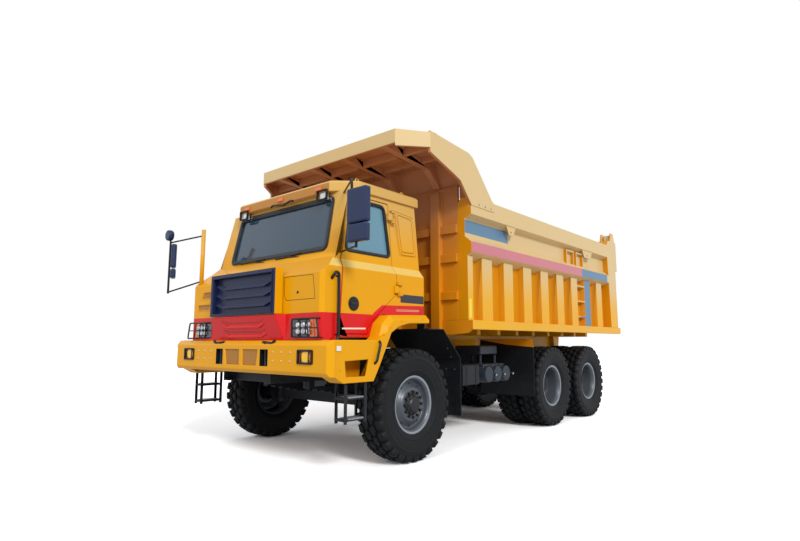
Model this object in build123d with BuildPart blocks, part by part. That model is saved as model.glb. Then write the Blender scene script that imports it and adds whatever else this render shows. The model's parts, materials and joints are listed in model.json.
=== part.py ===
"""A wide-body mining dump truck on three axles.

Millimetres, +Z up. The ground is z = 0, the truck faces -Y and its left side is +X.
The origin is on the ground under the middle of the truck's overall box.
Places along the truck are written from the front axle, through the function along().
"""

import os
from math import atan, cos, degrees, pi

from build123d import *

os.makedirs("parts", exist_ok=True)

# Overall sizes
front_overhang = 1600.0
rear_overhang = 3110.0
wheelbase = 3850.0
bogie_spacing = 1600.0
truck_length = front_overhang + wheelbase + rear_overhang
front_axle_y = front_overhang - truck_length / 2
mirror_reach = 1900.0

# Clearances
seat_gap = 0.3
moving_gap = 6.0

# Tyres and rims
tyre_radius = 685.0
tyre_width = 376.0
tyre_outer_x = 1580.0
dual_spacing = 430.0
casing_radius = 655.0
shoulder_radius = 585.0
shoulder_width = 24.0
sidewall_inner_radius = 470.0
bead_radius = 358.0
bead_half_width = 130.0
lug_count = 16
lug_length = 130.0
rim_seat_radius = 318.0
rim_wall = 22.0
rim_flange_radius = 352.0
rim_flange_thickness = 12.0
rim_disc_thickness = 24.0
front_disc_offset = 55.0
hub_radius = 150.0
spindle_radius = 75.0
spindle_clearance = 0.3

# Frame
rail_outer_x = 500.0
rail_flange = 110.0
rail_thickness = 16.0
rail_bottom_z = 960.0
rail_top_z = 1340.0
bumper_rear = -1385.0
bed_pivot = wheelbase + 2250.0
bed_pivot_z = 1300.0
bed_pin_radius = 45.0
rail_rear = bed_pivot + 80.0

# Front axle and steering
king_pin_x = 1100.0
king_pin_radius = 30.0
beam_eye_radius = 62.0
beam_eye_half_height = 85.0
beam_top_z = 760.0
yoke_radius = 68.0
yoke_ear = 55.0

# Cab
cab_lower_half = 1380.0
cab_belt_half = cab_lower_half - 80.0
cab_top_half = cab_belt_half - 85.0
cab_rear = 410.0
cab_firewall = -1130.0
cab_floor_front_z = 1500.0
cab_floor_rear_z = 1770.0
belt_low_z = 2300.0
belt_high_z = 2400.0
cab_top_z = 3290.0
windshield_base = -1015.0
windshield_base_z = 2520.0
windshield_top = -860.0
cab_wall = 45.0
glass_depth = 15.0
glass_thickness = 8.0
roof_height = 140.0
visor_front = -940.0

# Doors
door_hinge = -140.0
door_hinge_low = (cab_lower_half + 24.0, 2100.0)
door_hinge_high = (cab_top_half + 74.0, 3050.0)
hinge_half = 45.0
hinge_pin = 6.0
hinge_pin_clearance = 0.5
door_rear = -148.0
door_front_low = -1126.0
door_front_belt = -1083.0
door_front_pillar = -996.0
door_pillar_z = 2540.0
door_front_top = -846.0
door_top_z = 3235.0
door_low_z = 1535.0
door_diagonal_top_z = 2040.0
door_knee = (-545.0, 1722.0)
door_heel = (-660.0, 1600.0)
door_gap = 7.0
door_top_gap = 13.0
door_front_gap = 20.0

# Nose and bumper
nose_front = -1380.0
nose_bottom_z = 1465.3
nose_top_z = 2220.0
nose_half = cab_lower_half - 40.0
nose_wall = 40.0
grille_front = -1500.0
grille_half = 700.0
grille_low_z = 1770.0
grille_high_z = 2310.0
grille_hinge = -1404.0
grille_hinge_z = 2330.0
grille_pin = 7.0
grille_hinge_xs = (-450.0, 450.0)
bumper_front = -1475.0
bumper_half = cab_lower_half + 200.0
bumper_end_x = cab_lower_half + 240.0
fender_outer_x = cab_lower_half + 220.0

# Bed
bed_front = 1050.0
tail = wheelbase + rear_overhang
bed_post_rear = tail - 210.0
bed_rear = tail - 120.0
bed_floor_rear = tail - 80.0
bed_floor_top_z = 1750.0
bed_floor_thickness = 50.0
bed_rail_low_z = 1620.0
bed_inner_half = 1500.0
bed_panel_x = 1560.0
bed_rib_x = 1660.0
bed_outer_x = 1730.0
bed_upper_x = 1620.0
bed_top_z = 3510.0
cheek_joint_z = bed_top_z - 140.0
cheek_rear = 1676.0
rib_first = 1420.0
rib_width = 280.0
rib_count = 8
rib_pitch = (bed_post_rear - 354.0 - rib_first) / rib_count
rib_top_z = 2665.0
canopy_front = -240.0
canopy_rise = 680.0
canopy_top_z = bed_top_z + canopy_rise
canopy_front_half = 1430.0
canopy_outer_x = 1735.0
canopy_chamfer_end = 115.0
gate_hinge = tail - 320.0
gate_hinge_z = bed_top_z + 220.0
gate_pin_radius = 25.0

# Hoist between the cab and the bed
hoist_y = 820.0
hoist_pivot_z = 1100.0
hoist_eye_z = 2750.0
hoist_radii = (125.0, 110.0, 97.0, 84.0)
hoist_clearance = 0.5
trunnion_radius = 40.0


def along(y):
    """A place along the truck, measured backwards from the front axle."""
    return front_axle_y + y


def inset(points, amount):
    """An outline drawn in by amount on every side, its corners kept sharp."""
    count = len(points)
    doubled_area = sum(
        points[i - 1][0] * points[i][1] - points[i][0] * points[i - 1][1] for i in range(count)
    )
    turn = 1 if doubled_area > 0 else -1
    moved = []
    for i in range(count):
        before, corner, after = points[i - 1], points[i], points[(i + 1) % count]
        normals = []
        for start, end in ((before, corner), (corner, after)):
            run, rise = end[0] - start[0], end[1] - start[1]
            length = (run**2 + rise**2) ** 0.5
            normals.append((-turn * rise / length, turn * run / length))
        first, second = normals
        share = amount / (1 + first[0] * second[0] + first[1] * second[1])
        moved.append(
            (
                corner[0] + share * (first[0] + second[0]),
                corner[1] + share * (first[1] + second[1]),
            )
        )
    return moved


def side_prism(points, x_low, x_high, mode=Mode.ADD):
    """A prism across the truck, its outline seen from the left as (y from the front axle, z)."""
    with BuildSketch(Plane.YZ.offset(min(x_low, x_high))) as outline:
        with BuildLine():
            Polyline(*[(along(y), z) for y, z in points], close=True)
        make_face()
    extrude(outline.sketch, amount=abs(x_high - x_low), mode=mode)


def front_prism(points, y_low, y_high, mode=Mode.ADD):
    """A prism along the truck, its outline seen from the front as (x, z)."""
    rear_plane = Plane(origin=(0, along(y_high), 0), x_dir=(1, 0, 0), z_dir=(0, -1, 0))
    with BuildSketch(rear_plane) as outline:
        with BuildLine():
            Polyline(*points, close=True)
        make_face()
    extrude(outline.sketch, amount=y_high - y_low, mode=mode)


def plan_prism(points, z_low, z_high, mode=Mode.ADD):
    """An upright prism, its outline seen from above as (x, y from the front axle)."""
    with BuildSketch(Plane.XY.offset(z_low)) as outline:
        with BuildLine():
            Polyline(*[(x, along(y)) for x, y in points], close=True)
        make_face()
    extrude(outline.sketch, amount=z_high - z_low, mode=mode)


def bar(x_range, y_range, z_range, mode=Mode.ADD):
    """A straight bar or plate between three pairs of limits, y from the front axle."""
    with Locations(
        (sum(x_range) / 2, along(sum(y_range) / 2), sum(z_range) / 2)
    ):
        Box(
            x_range[1] - x_range[0],
            y_range[1] - y_range[0],
            z_range[1] - z_range[0],
            mode=mode,
        )


def cross_cylinder(radius, x_low, x_high, y, z, mode=Mode.ADD):
    """A cylinder across the truck."""
    with BuildSketch(Plane.YZ.offset(x_low)) as disc:
        with Locations((along(y), z)):
            Circle(radius)
    extrude(disc.sketch, amount=x_high - x_low, mode=mode)


def upright_cylinder(radius, x, y, z_low, z_high, mode=Mode.ADD):
    """A vertical cylinder."""
    with BuildSketch(Plane.XY.offset(z_low)) as disc:
        with Locations((x, along(y))):
            Circle(radius)
    extrude(disc.sketch, amount=z_high - z_low, mode=mode)


def long_cylinder(radius, x, z, y_low, y_high, mode=Mode.ADD):
    """A cylinder along the truck."""
    rear_plane = Plane(origin=(0, along(y_high), 0), x_dir=(1, 0, 0), z_dir=(0, -1, 0))
    with BuildSketch(rear_plane) as disc:
        with Locations((x, z)):
            Circle(radius)
    extrude(disc.sketch, amount=y_high - y_low, mode=mode)


# Frame: two channel rails, cross members, the hoist's trunnion beams and the bed's pivot shaft
rail_inner_x = rail_outer_x - rail_flange
rail_web_x = rail_outer_x - rail_thickness
channel = (
    (rail_inner_x, rail_bottom_z),
    (rail_outer_x, rail_bottom_z),
    (rail_outer_x, rail_top_z),
    (rail_inner_x, rail_top_z),
    (rail_inner_x, rail_top_z - rail_thickness),
    (rail_web_x, rail_top_z - rail_thickness),
    (rail_web_x, rail_bottom_z + rail_thickness),
    (rail_inner_x, rail_bottom_z + rail_thickness),
)
cross_member_width = 120.0
# Columns: place, lowest z, highest z
cross_members = (
    (-1190.0, rail_bottom_z, rail_top_z - 40),
    (1300.0, 1040.0, 1260.0),
    (wheelbase - 1250.0, 1040.0, 1260.0),
    (wheelbase + bogie_spacing / 2, 1000.0, 1300.0),
    (wheelbase + bogie_spacing + 150.0, 1040.0, 1260.0),
)
# Columns: place, underside of the cab there
cab_mounts = ((-1000.0, cab_floor_front_z), (cab_rear - 120.0, cab_floor_rear_z))
trunnion_beam_x = hoist_radii[0] + 10
with BuildPart() as frame_rails:
    front_prism(channel, bumper_rear + seat_gap, rail_rear)
    bar((trunnion_beam_x, rail_web_x), (hoist_y - 60, hoist_y + 60), (980, 1160))
    for place, mount_top_z in cab_mounts:
        bar(
            (rail_inner_x, rail_outer_x),
            (place - 50, place + 50),
            (rail_top_z - 1, mount_top_z - seat_gap),
        )
    cross_cylinder(
        trunnion_radius + seat_gap,
        trunnion_beam_x - 1,
        trunnion_beam_x + 60,
        hoist_y,
        hoist_pivot_z,
        mode=Mode.SUBTRACT,
    )
    mirror(about=Plane.YZ)
    for place, low_z, high_z in cross_members:
        bar(
            (-rail_web_x, rail_web_x),
            (place - cross_member_width / 2, place + cross_member_width / 2),
            (low_z, high_z),
        )
    cross_cylinder(bed_pin_radius, -640, 640, bed_pivot, bed_pivot_z)
frame_rails.part.label = "frame_rails"
export_step(frame_rails.part, "parts/frame_rails.step")

# Front axle: a dropped beam with an eye at each king pin
beam_outline = (
    (0.0, beam_top_z - 150),
    (700.0, beam_top_z - 150),
    (king_pin_x - 40, tyre_radius - 55),
    (king_pin_x - 40, tyre_radius + 55),
    (820.0, tyre_radius + 70),
    (560.0, beam_top_z),
    (0.0, beam_top_z),
)
with BuildPart() as front_axle_beam:
    front_prism(beam_outline, -55, 55)
    upright_cylinder(
        beam_eye_radius,
        king_pin_x,
        0,
        tyre_radius - beam_eye_half_height,
        tyre_radius + beam_eye_half_height,
    )
    upright_cylinder(
        king_pin_radius + seat_gap,
        king_pin_x,
        0,
        tyre_radius - beam_eye_half_height,
        tyre_radius + beam_eye_half_height,
        mode=Mode.SUBTRACT,
    )
    mirror(about=Plane.YZ)
front_axle_beam.part.label = "front_axle_beam"
export_step(front_axle_beam.part, "parts/front_axle_beam.step")

# Steering knuckles: a yoke round the beam's eye, its king pin and the wheel's spindle
yoke_inner_z = beam_eye_half_height + seat_gap
yoke_outer_z = yoke_inner_z + yoke_ear
spindle_flange_x = king_pin_x + yoke_radius - 6
spindle_flange_thickness = 36.0
spindle_end_x = tyre_outer_x - 120
with BuildPart() as knuckle_left:
    for low_z, high_z in (
        (tyre_radius - yoke_outer_z, tyre_radius - yoke_inner_z),
        (tyre_radius + yoke_inner_z, tyre_radius + yoke_outer_z),
    ):
        upright_cylinder(yoke_radius, king_pin_x, 0, low_z, high_z)
        bar((king_pin_x, spindle_flange_x + 10), (-60, 60), (low_z, high_z))
    upright_cylinder(
        king_pin_radius,
        king_pin_x,
        0,
        tyre_radius - yoke_outer_z,
        tyre_radius + yoke_outer_z,
    )
    cross_cylinder(
        yoke_outer_z,
        spindle_flange_x,
        spindle_flange_x + spindle_flange_thickness,
        0,
        tyre_radius,
    )
    cross_cylinder(spindle_radius, spindle_flange_x, spindle_end_x, 0, tyre_radius)
with BuildPart() as knuckle_right:
    mirror(knuckle_left.part, about=Plane.YZ)
for knuckle, name in ((knuckle_left, "knuckle_left"), (knuckle_right, "knuckle_right")):
    knuckle.part.label = name
    export_step(knuckle.part, f"parts/{name}.step")

# Rear axles: a tube with a bowl in the middle, a drive nose and a spindle at each end
axle_tube_radius = 115.0
axle_bowl_radius = 250.0
axle_nose_radius = 95.0
axle_nose_reach = 340.0
dual_middle_x = tyre_outer_x - tyre_width / 2 - dual_spacing / 2
rear_tube_end_x = dual_middle_x - 267.0
rear_spindle_end_x = tyre_outer_x - 240
with BuildPart() as rear_axle_housings:
    for axle in (wheelbase, wheelbase + bogie_spacing):
        cross_cylinder(axle_tube_radius, -rear_tube_end_x, rear_tube_end_x, axle, tyre_radius)
        cross_cylinder(spindle_radius, -rear_spindle_end_x, rear_spindle_end_x, axle, tyre_radius)
        cross_cylinder(axle_bowl_radius, -130, 130, axle, tyre_radius)
        long_cylinder(axle_nose_radius, 0, tyre_radius, axle - axle_nose_reach, axle)
rear_axle_housings.part.label = "rear_axle_housings"
export_step(rear_axle_housings.part, "parts/rear_axle_housings.step")

# Leaf springs: a front pair under the rails and a bogie pair beside them
front_spring_x = (395.0, 485.0)
front_spring_reach = 780.0
spring_layer = 24.0
front_spring_layers = 5
bogie_spring_x = (rail_outer_x + 60, rail_outer_x + 150)
bogie_middle = wheelbase + bogie_spacing / 2
bogie_spring_top_z = 1010.0
bogie_spring_seat_z = tyre_radius + axle_tube_radius + seat_gap
with BuildPart() as leaf_springs:
    for layer in range(front_spring_layers):
        reach = front_spring_reach * (1 - 0.16 * layer)
        top_z = beam_top_z + seat_gap + spring_layer * (front_spring_layers - layer)
        bar(front_spring_x, (-reach, reach), (top_z - spring_layer, top_z))
    spring_top_z = beam_top_z + seat_gap + spring_layer * front_spring_layers
    for place in (-front_spring_reach + 40, front_spring_reach - 40):
        bar(front_spring_x, (place - 40, place + 40), (spring_top_z, rail_bottom_z - seat_gap))
    side_prism(
        (
            (bogie_middle - bogie_spacing / 2 - 90, bogie_spring_seat_z),
            (bogie_middle - bogie_spacing / 2 + 90, bogie_spring_seat_z),
            (bogie_middle - 180, bogie_spring_top_z - 170),
            (bogie_middle + 180, bogie_spring_top_z - 170),
            (bogie_middle + bogie_spacing / 2 - 90, bogie_spring_seat_z),
            (bogie_middle + bogie_spacing / 2 + 90, bogie_spring_seat_z),
            (bogie_middle + bogie_spacing / 2 + 90, bogie_spring_seat_z + 45),
            (bogie_middle + 160, bogie_spring_top_z),
            (bogie_middle - 160, bogie_spring_top_z),
            (bogie_middle - bogie_spacing / 2 - 90, bogie_spring_seat_z + 45),
        ),
        *bogie_spring_x,
    )
    side_prism(
        (
            (bogie_middle - 150, 820),
            (bogie_middle + 150, 820),
            (bogie_middle + 110, rail_top_z - 60),
            (bogie_middle - 110, rail_top_z - 60),
        ),
        rail_outer_x + seat_gap,
        bogie_spring_x[0] + 2,
    )
    mirror(about=Plane.YZ)
leaf_springs.part.label = "leaf_springs"
export_step(leaf_springs.part, "parts/leaf_springs.step")

# Engine: one plain block between the rails, with its sump
engine_front = -400.0
engine_rear = 420.0
engine_mount_z = (1080.0, 1160.0)
with BuildPart() as engine_block:
    bar((-380, 380), (engine_front, engine_rear), (900, 1700))
    bar((-230, 230), (-300, 300), (810, 900))
    for place in (engine_front + 100, engine_rear - 100):
        bar(
            (-rail_web_x + seat_gap, rail_web_x - seat_gap),
            (place - 50, place + 50),
            engine_mount_z,
        )
engine_block.part.label = "engine_block"
export_step(engine_block.part, "parts/engine_block.step")

# Gearbox and the shafts to both rear axles
shaft_radius = 55.0
gearbox_rear = 560.0
first_nose = wheelbase - axle_nose_reach
second_nose = wheelbase + bogie_spacing - axle_nose_reach
with BuildPart() as driveline:
    bar((-220, 220), (engine_rear + seat_gap, gearbox_rear), (600, 1200))
    long_cylinder(shaft_radius, 0, tyre_radius, gearbox_rear, first_nose - seat_gap)
    long_cylinder(
        shaft_radius,
        0,
        tyre_radius,
        wheelbase + axle_bowl_radius + seat_gap,
        second_nose - seat_gap,
    )
driveline.part.label = "driveline"
export_step(driveline.part, "parts/driveline.step")

# Fuel tank on the right, battery box and three air tanks on the left
fuel_tank_size = (690.0, 0.3 * wheelbase, 560.0)
fuel_tank_z = 700.0
fuel_tank_front = 0.338 * wheelbase
with BuildPart() as fuel_tank:
    with BuildSketch(Plane(origin=(0, along(fuel_tank_front), 0), x_dir=(1, 0, 0), z_dir=(0, -1, 0))):
        with Locations(
            (-rail_outer_x - 60 - fuel_tank_size[0] / 2, fuel_tank_z + fuel_tank_size[2] / 2)
        ):
            RectangleRounded(fuel_tank_size[0], fuel_tank_size[2], 70)
    extrude(amount=-fuel_tank_size[1])
    for place in (fuel_tank_front + 200, fuel_tank_front + fuel_tank_size[1] - 200):
        bar(
            (-rail_outer_x - 80, -rail_outer_x - seat_gap),
            (place - 40, place + 40),
            (1000, 1220),
        )
fuel_tank.part.label = "fuel_tank"
export_step(fuel_tank.part, "parts/fuel_tank.step")

battery_box_x = (rail_outer_x + seat_gap, 1400.0)
battery_box_y = (0.33 * wheelbase, 0.4416 * wheelbase)
with BuildPart() as battery_box:
    bar((620, battery_box_x[1]), battery_box_y, (830, 1110))
    bar((battery_box_x[0], 640), (battery_box_y[0] + 30, battery_box_y[1] - 40), (980, 1090))
    for place in (battery_box_y[0] + 90, battery_box_y[1] - 90):
        bar((612, battery_box_x[1] + 8), (place - 18, place + 18), (822, 1118))
battery_box.part.label = "battery_box"
export_step(battery_box.part, "parts/battery_box.step")

air_tank_radius = 122.0
air_tank_pitch = 258.0
air_tank_first = 0.517 * wheelbase
air_tank_z = 955.0
air_tank_end_x = 1400.0
with BuildPart() as air_tanks:
    for index in range(3):
        cross_cylinder(
            air_tank_radius,
            680,
            air_tank_end_x,
            air_tank_first + index * air_tank_pitch,
            air_tank_z,
        )
    bar(
        (rail_outer_x + seat_gap, 1320),
        (air_tank_first - 60, air_tank_first + 2 * air_tank_pitch + 60),
        (air_tank_z + air_tank_radius - 16, air_tank_z + air_tank_radius + 30),
    )
    # The valve cabinet on the tanks' shelf, on four feet
    bar((760, 1240), (air_tank_first, air_tank_first + 500), (1250, 1390))
    for foot_x in (790.0, 1210.0):
        for place in (air_tank_first + 40, air_tank_first + 460):
            bar((foot_x - 20, foot_x + 20), (place - 20, place + 20), (1100, 1260))
air_tanks.part.label = "air_tanks"
export_step(air_tanks.part, "parts/air_tanks.step")

# Bumper: a faceted beam with recesses for its lamps and meshes
bumper_outline = (
    (bumper_front, 1120),
    (bumper_front, 1410),
    (bumper_front + 55, 1465),
    (bumper_rear, 1465),
    (bumper_rear, 1080),
    (bumper_front + 35, 1080),
)
bumper_plan = (
    (-bumper_half, bumper_front),
    (bumper_half, bumper_front),
    (bumper_end_x, bumper_front + 75),
    (bumper_end_x, bumper_rear),
    (-bumper_end_x, bumper_rear),
    (-bumper_end_x, bumper_front + 75),
)
fog_lamp_x = (1110.0, 1360.0)
fog_lamp_z = (1215.0, 1355.0)
recess_depth = 70.0
tow_jaw_x = (402.0, 556.0)
tow_jaw_z = (1170.0, 1360.0)
tow_pin_radius = 18.0
tow_pin_y = bumper_front + 34.0
mesh_outline = ((36.0, 1172.0), (36.0, 1358.0), (355.0, 1358.0), (322.0, 1172.0))
with BuildPart() as bumper:
    side_prism(bumper_outline, -bumper_end_x, bumper_end_x)
    plan_prism(bumper_plan, 1000, 1500, mode=Mode.INTERSECT)
    for side in (-1, 1):
        bar(
            tuple(sorted((side * fog_lamp_x[0], side * fog_lamp_x[1]))),
            (bumper_front, bumper_front + recess_depth),
            fog_lamp_z,
            mode=Mode.SUBTRACT,
        )
        front_prism(
            [(side * x, z) for x, z in mesh_outline],
            bumper_front,
            bumper_front + recess_depth,
            mode=Mode.SUBTRACT,
        )
        bar(
            tuple(sorted((side * tow_jaw_x[0], side * tow_jaw_x[1]))),
            (bumper_front, bumper_front + recess_depth),
            tow_jaw_z,
            mode=Mode.SUBTRACT,
        )
        tow_pin_x = side * sum(tow_jaw_x) / 2
        upright_cylinder(tow_pin_radius, tow_pin_x, tow_pin_y, tow_jaw_z[0] - 5, tow_jaw_z[1] + 5)
bumper.part.label = "bumper"
export_step(bumper.part, "parts/bumper.step")

# Bumper meshes: plates behind the bumper's two middle openings, each with a raised lattice
mesh_inset = 8.0
mesh_bar = 8.0
with BuildPart() as bumper_meshes:
    for side in (-1, 1):
        outline = inset([(side * x, z) for x, z in mesh_outline], seat_gap)
        front_prism(outline, bumper_front + mesh_inset + 8, bumper_front + mesh_inset + 30)
        for step in range(5):
            middle_x = side * (75 + 55 * step)
            bar(
                (middle_x - mesh_bar / 2, middle_x + mesh_bar / 2),
                (bumper_front + mesh_inset, bumper_front + mesh_inset + 9),
                (1180, 1350),
            )
bumper_meshes.part.label = "bumper_meshes"
export_step(bumper_meshes.part, "parts/bumper_meshes.step")

# Nose: a hollow shell ahead of the cab, open below and behind
ledge_slope = (windshield_base_z - nose_top_z) / (windshield_base - nose_front)
ledge_z = nose_top_z + ledge_slope * (cab_firewall - nose_front)
nose_rear = cab_firewall - seat_gap
nose_outline = (
    (nose_front, nose_bottom_z),
    (nose_front, nose_top_z),
    (nose_rear, ledge_z),
    (nose_rear, nose_bottom_z),
)
nose_plan = (
    (-nose_half, nose_front),
    (nose_half, nose_front),
    (cab_lower_half, nose_front + 40),
    (cab_lower_half, nose_rear),
    (-cab_lower_half, nose_rear),
    (-cab_lower_half, nose_front + 40),
)
cab_front_outline = (
    (-cab_lower_half, cab_floor_front_z),
    (-cab_lower_half, belt_low_z),
    (-cab_belt_half, belt_high_z),
    (-cab_top_half, cab_top_z),
    (cab_top_half, cab_top_z),
    (cab_belt_half, belt_high_z),
    (cab_lower_half, belt_low_z),
    (cab_lower_half, cab_floor_front_z),
)
lamp_recess_x = (860.0, 1310.0)
lamp_recess_z = (1495.0, 1710.0)
grille_opening_half = grille_half - 60
vent_depth = 14.0
# Columns: corners of each vent as (x, z)
nose_vents = (
    ((-1143.0, 2040.0), (-896.0, 2040.0), (-896.0, 2120.0), (-1077.0, 2120.0)),
    ((-1225.0, 1880.0), (-960.0, 1880.0), (-895.0, 1950.0), (-1225.0, 1950.0)),
)
chin_front = grille_front + 10
chin_low_front = nose_front - 10
chin_half = 690.0
chin_root_half = 760.0
chin_top_z = grille_low_z - moving_gap
ridge_height = 26.0
ridge_reach = 16.0
# Columns: height at the knees, height at the ends, half width at the ends
chin_ridges = ((1643.0, 1685.0, 450.0), (1530.0, 1565.0, 450.0))
ridge_knee = 350.0
chin_slope = (chin_low_front - chin_front) / (chin_top_z - nose_bottom_z)
with BuildPart() as chin:
    side_prism(
        (
            (nose_front + 1, nose_bottom_z),
            (nose_front + 1, chin_top_z),
            (chin_front, chin_top_z),
            (chin_low_front, nose_bottom_z),
        ),
        -chin_root_half,
        chin_root_half,
    )
    plan_prism(
        (
            (-chin_half, chin_front),
            (chin_half, chin_front),
            (chin_root_half, nose_front + 2),
            (-chin_root_half, nose_front + 2),
        ),
        nose_bottom_z,
        chin_top_z,
        mode=Mode.INTERSECT,
    )
    for knee_z, end_z, ridge_half in chin_ridges:
        face_y = chin_front + chin_slope * (chin_top_z - knee_z)
        front_prism(
            (
                (-ridge_half, end_z),
                (-ridge_knee, knee_z),
                (ridge_knee, knee_z),
                (ridge_half, end_z),
                (ridge_half, end_z - ridge_height),
                (ridge_knee, knee_z - ridge_height),
                (-ridge_knee, knee_z - ridge_height),
                (-ridge_half, end_z - ridge_height),
            ),
            face_y - ridge_reach,
            nose_front - 1,
        )
with BuildPart() as nose:
    side_prism(nose_outline, -cab_lower_half, cab_lower_half)
    plan_prism(nose_plan, nose_bottom_z, 2600, mode=Mode.INTERSECT)
    front_prism(
        [(x, min(z, nose_bottom_z - 1) if z < 1600 else z) for x, z in cab_front_outline],
        nose_front - 1,
        nose_rear + 1,
        mode=Mode.INTERSECT,
    )
    side_prism(
        (
            (nose_front + nose_wall, nose_bottom_z - 1),
            (nose_front + nose_wall, nose_top_z - nose_wall),
            (nose_rear, ledge_z - 1.3 * nose_wall),
            (nose_rear, nose_bottom_z - 1),
        ),
        -nose_half + nose_wall,
        nose_half - nose_wall,
        mode=Mode.SUBTRACT,
    )
    bar(
        (-grille_opening_half, grille_opening_half),
        (nose_front, nose_front + nose_wall),
        (grille_low_z + 60, grille_high_z - 110),
        mode=Mode.SUBTRACT,
    )
    for side in (-1, 1):
        bar(
            tuple(sorted((side * lamp_recess_x[0], side * lamp_recess_x[1]))),
            (nose_front, nose_front + nose_wall),
            lamp_recess_z,
            mode=Mode.SUBTRACT,
        )
    for vent in nose_vents:
        front_prism(vent, nose_front, nose_front + vent_depth, mode=Mode.SUBTRACT)
    add(chin.part)
    for middle_x in grille_hinge_xs:
        for arm_x in (middle_x - 56, middle_x + 38):
            side_prism(
                (
                    (grille_hinge - 9, grille_hinge_z - 9),
                    (grille_hinge - 9, grille_hinge_z + 9),
                    (-1235, grille_hinge_z + 9),
                    (-1235, grille_hinge_z - 9),
                ),
                arm_x,
                arm_x + 18,
            )
        cross_cylinder(grille_pin, middle_x - 50, middle_x + 50, grille_hinge, grille_hinge_z)
nose.part.label = "nose"
export_step(nose.part, "parts/nose.step")

# Grille: a framed flap that hinges at its top, and its louvred insert
grille_rear = nose_front - moving_gap
grille_frame_width = 62.0
slat_knee = 445.0
slat_end = 585.0
slat_height = 40.0
# Columns: height between the knees, height at the ends
slats = ((1870.0, 1914.0), (1990.0, 2035.0), (2105.0, 2155.0))
with BuildPart() as grille_frame:
    bar((-grille_half, grille_half), (grille_front, grille_rear), (grille_low_z, grille_high_z))
    bar(
        (-grille_half + grille_frame_width, grille_half - grille_frame_width),
        (grille_front, grille_rear),
        (grille_low_z + 35, grille_high_z - 50),
        mode=Mode.SUBTRACT,
    )
    for middle_x in grille_hinge_xs:
        bar(
            (middle_x - 32, middle_x + 32),
            (grille_hinge - 12, grille_hinge + 12),
            (grille_high_z - 5, grille_hinge_z),
        )
        cross_cylinder(12, middle_x - 32, middle_x + 32, grille_hinge, grille_hinge_z)
        cross_cylinder(
            grille_pin + hinge_pin_clearance,
            middle_x - 32,
            middle_x + 32,
            grille_hinge,
            grille_hinge_z,
            mode=Mode.SUBTRACT,
        )
grille_frame.part.label = "grille_frame"
export_step(grille_frame.part, "parts/grille_frame.step")

slat_low_z = grille_low_z + 35 + seat_gap
slat_high_z = grille_high_z - 50 - seat_gap
slat_half = grille_half - grille_frame_width - seat_gap
with BuildPart() as grille_slats:
    bar(
        (-slat_half, slat_half),
        (grille_front + 60, grille_front + 85),
        (slat_low_z, slat_high_z),
    )
    for knee_z, end_z in slats:
        for reach, height in ((22.0, slat_height), (40.0, 0.5 * slat_height)):
            front_prism(
                (
                    (-slat_end, end_z),
                    (-slat_knee, knee_z),
                    (slat_knee, knee_z),
                    (slat_end, end_z),
                    (slat_end, end_z + height),
                    (slat_knee, knee_z + height),
                    (-slat_knee, knee_z + height),
                    (-slat_end, end_z + height),
                ),
                grille_front + 62 - reach,
                grille_front + 62,
            )
grille_slats.part.label = "grille_slats"
export_step(grille_slats.part, "parts/grille_slats.step")

# Cab: one hollow form, cut at the windshield, the doors and the rear window
cab_side_outline = (
    (cab_firewall, cab_floor_front_z),
    (cab_firewall, ledge_z),
    (windshield_base, windshield_base_z),
    (windshield_top, cab_top_z),
    (cab_rear, cab_top_z),
    (cab_rear, cab_floor_rear_z),
    (-420.0, cab_floor_rear_z),
    (-640.0, cab_floor_front_z),
)


def cab_form(depth):
    """The cab's outer form, drawn in on every side by depth."""
    with BuildPart() as form:
        side_prism(inset(cab_side_outline, depth), -cab_lower_half - 9, cab_lower_half + 9)
        front_prism(
            inset(cab_front_outline, depth), cab_firewall - 9, cab_rear + 9, mode=Mode.INTERSECT
        )
    return form.part


def cab_section(depth):
    """A bar along the cab with its cross-section, drawn in by depth."""
    lowered = [(x, z - 300 if z < belt_low_z else z) for x, z in cab_front_outline]
    with BuildPart() as section:
        front_prism(inset(lowered, depth), cab_firewall - 9, cab_rear + 9)
    return section.part


cab_outer = cab_form(0)
cab_inner = cab_form(cab_wall)
glass_outer = cab_form(glass_depth)
glass_inner = cab_form(glass_depth + glass_thickness)


def door_outline(gap, front_gap, top_gap):
    """The door's edge as (y, z), drawn in by these gaps below, in front and above."""
    return (
        (door_front_low + front_gap, door_low_z + gap),
        (door_front_belt + front_gap, belt_low_z),
        (door_front_pillar + 0.7 * front_gap, door_pillar_z),
        (door_front_top + 0.5 * front_gap, door_top_z - top_gap),
        (door_rear, door_top_z - top_gap),
        (door_rear, door_diagonal_top_z + gap),
        (door_knee[0] - 0.6 * gap, door_knee[1] + 0.8 * gap),
        (door_heel[0] - gap, door_heel[1] + 0.5 * gap),
        (door_heel[0] - gap, door_low_z + gap),
    )


# Columns: y, z, as the window is seen from the left
door_window = ((-955.0, 2518.0), (-180.0, 2518.0), (-232.0, 3178.0), (-822.0, 3178.0))
window_corner = 60.0
# Columns: y, z of the pressed panel behind the door
quarter_panel = ((-30.0, 3167.0), (360.0, 3131.0), (369.0, 2576.0), (24.0, 2565.0))
groove_width = 14.0
groove_depth = 6.0
windshield_low_half = 1010.0
windshield_high_half = 985.0
windshield_low_z = 2560.0
windshield_high_z = 3215.0
windshield_outline = (
    (-windshield_low_half, windshield_low_z),
    (windshield_low_half, windshield_low_z),
    (windshield_high_half, windshield_high_z),
    (-windshield_high_half, windshield_high_z),
)
rear_window_outline = ((-700.0, 2600.0), (700.0, 2600.0), (700.0, 3100.0), (-700.0, 3100.0))


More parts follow.
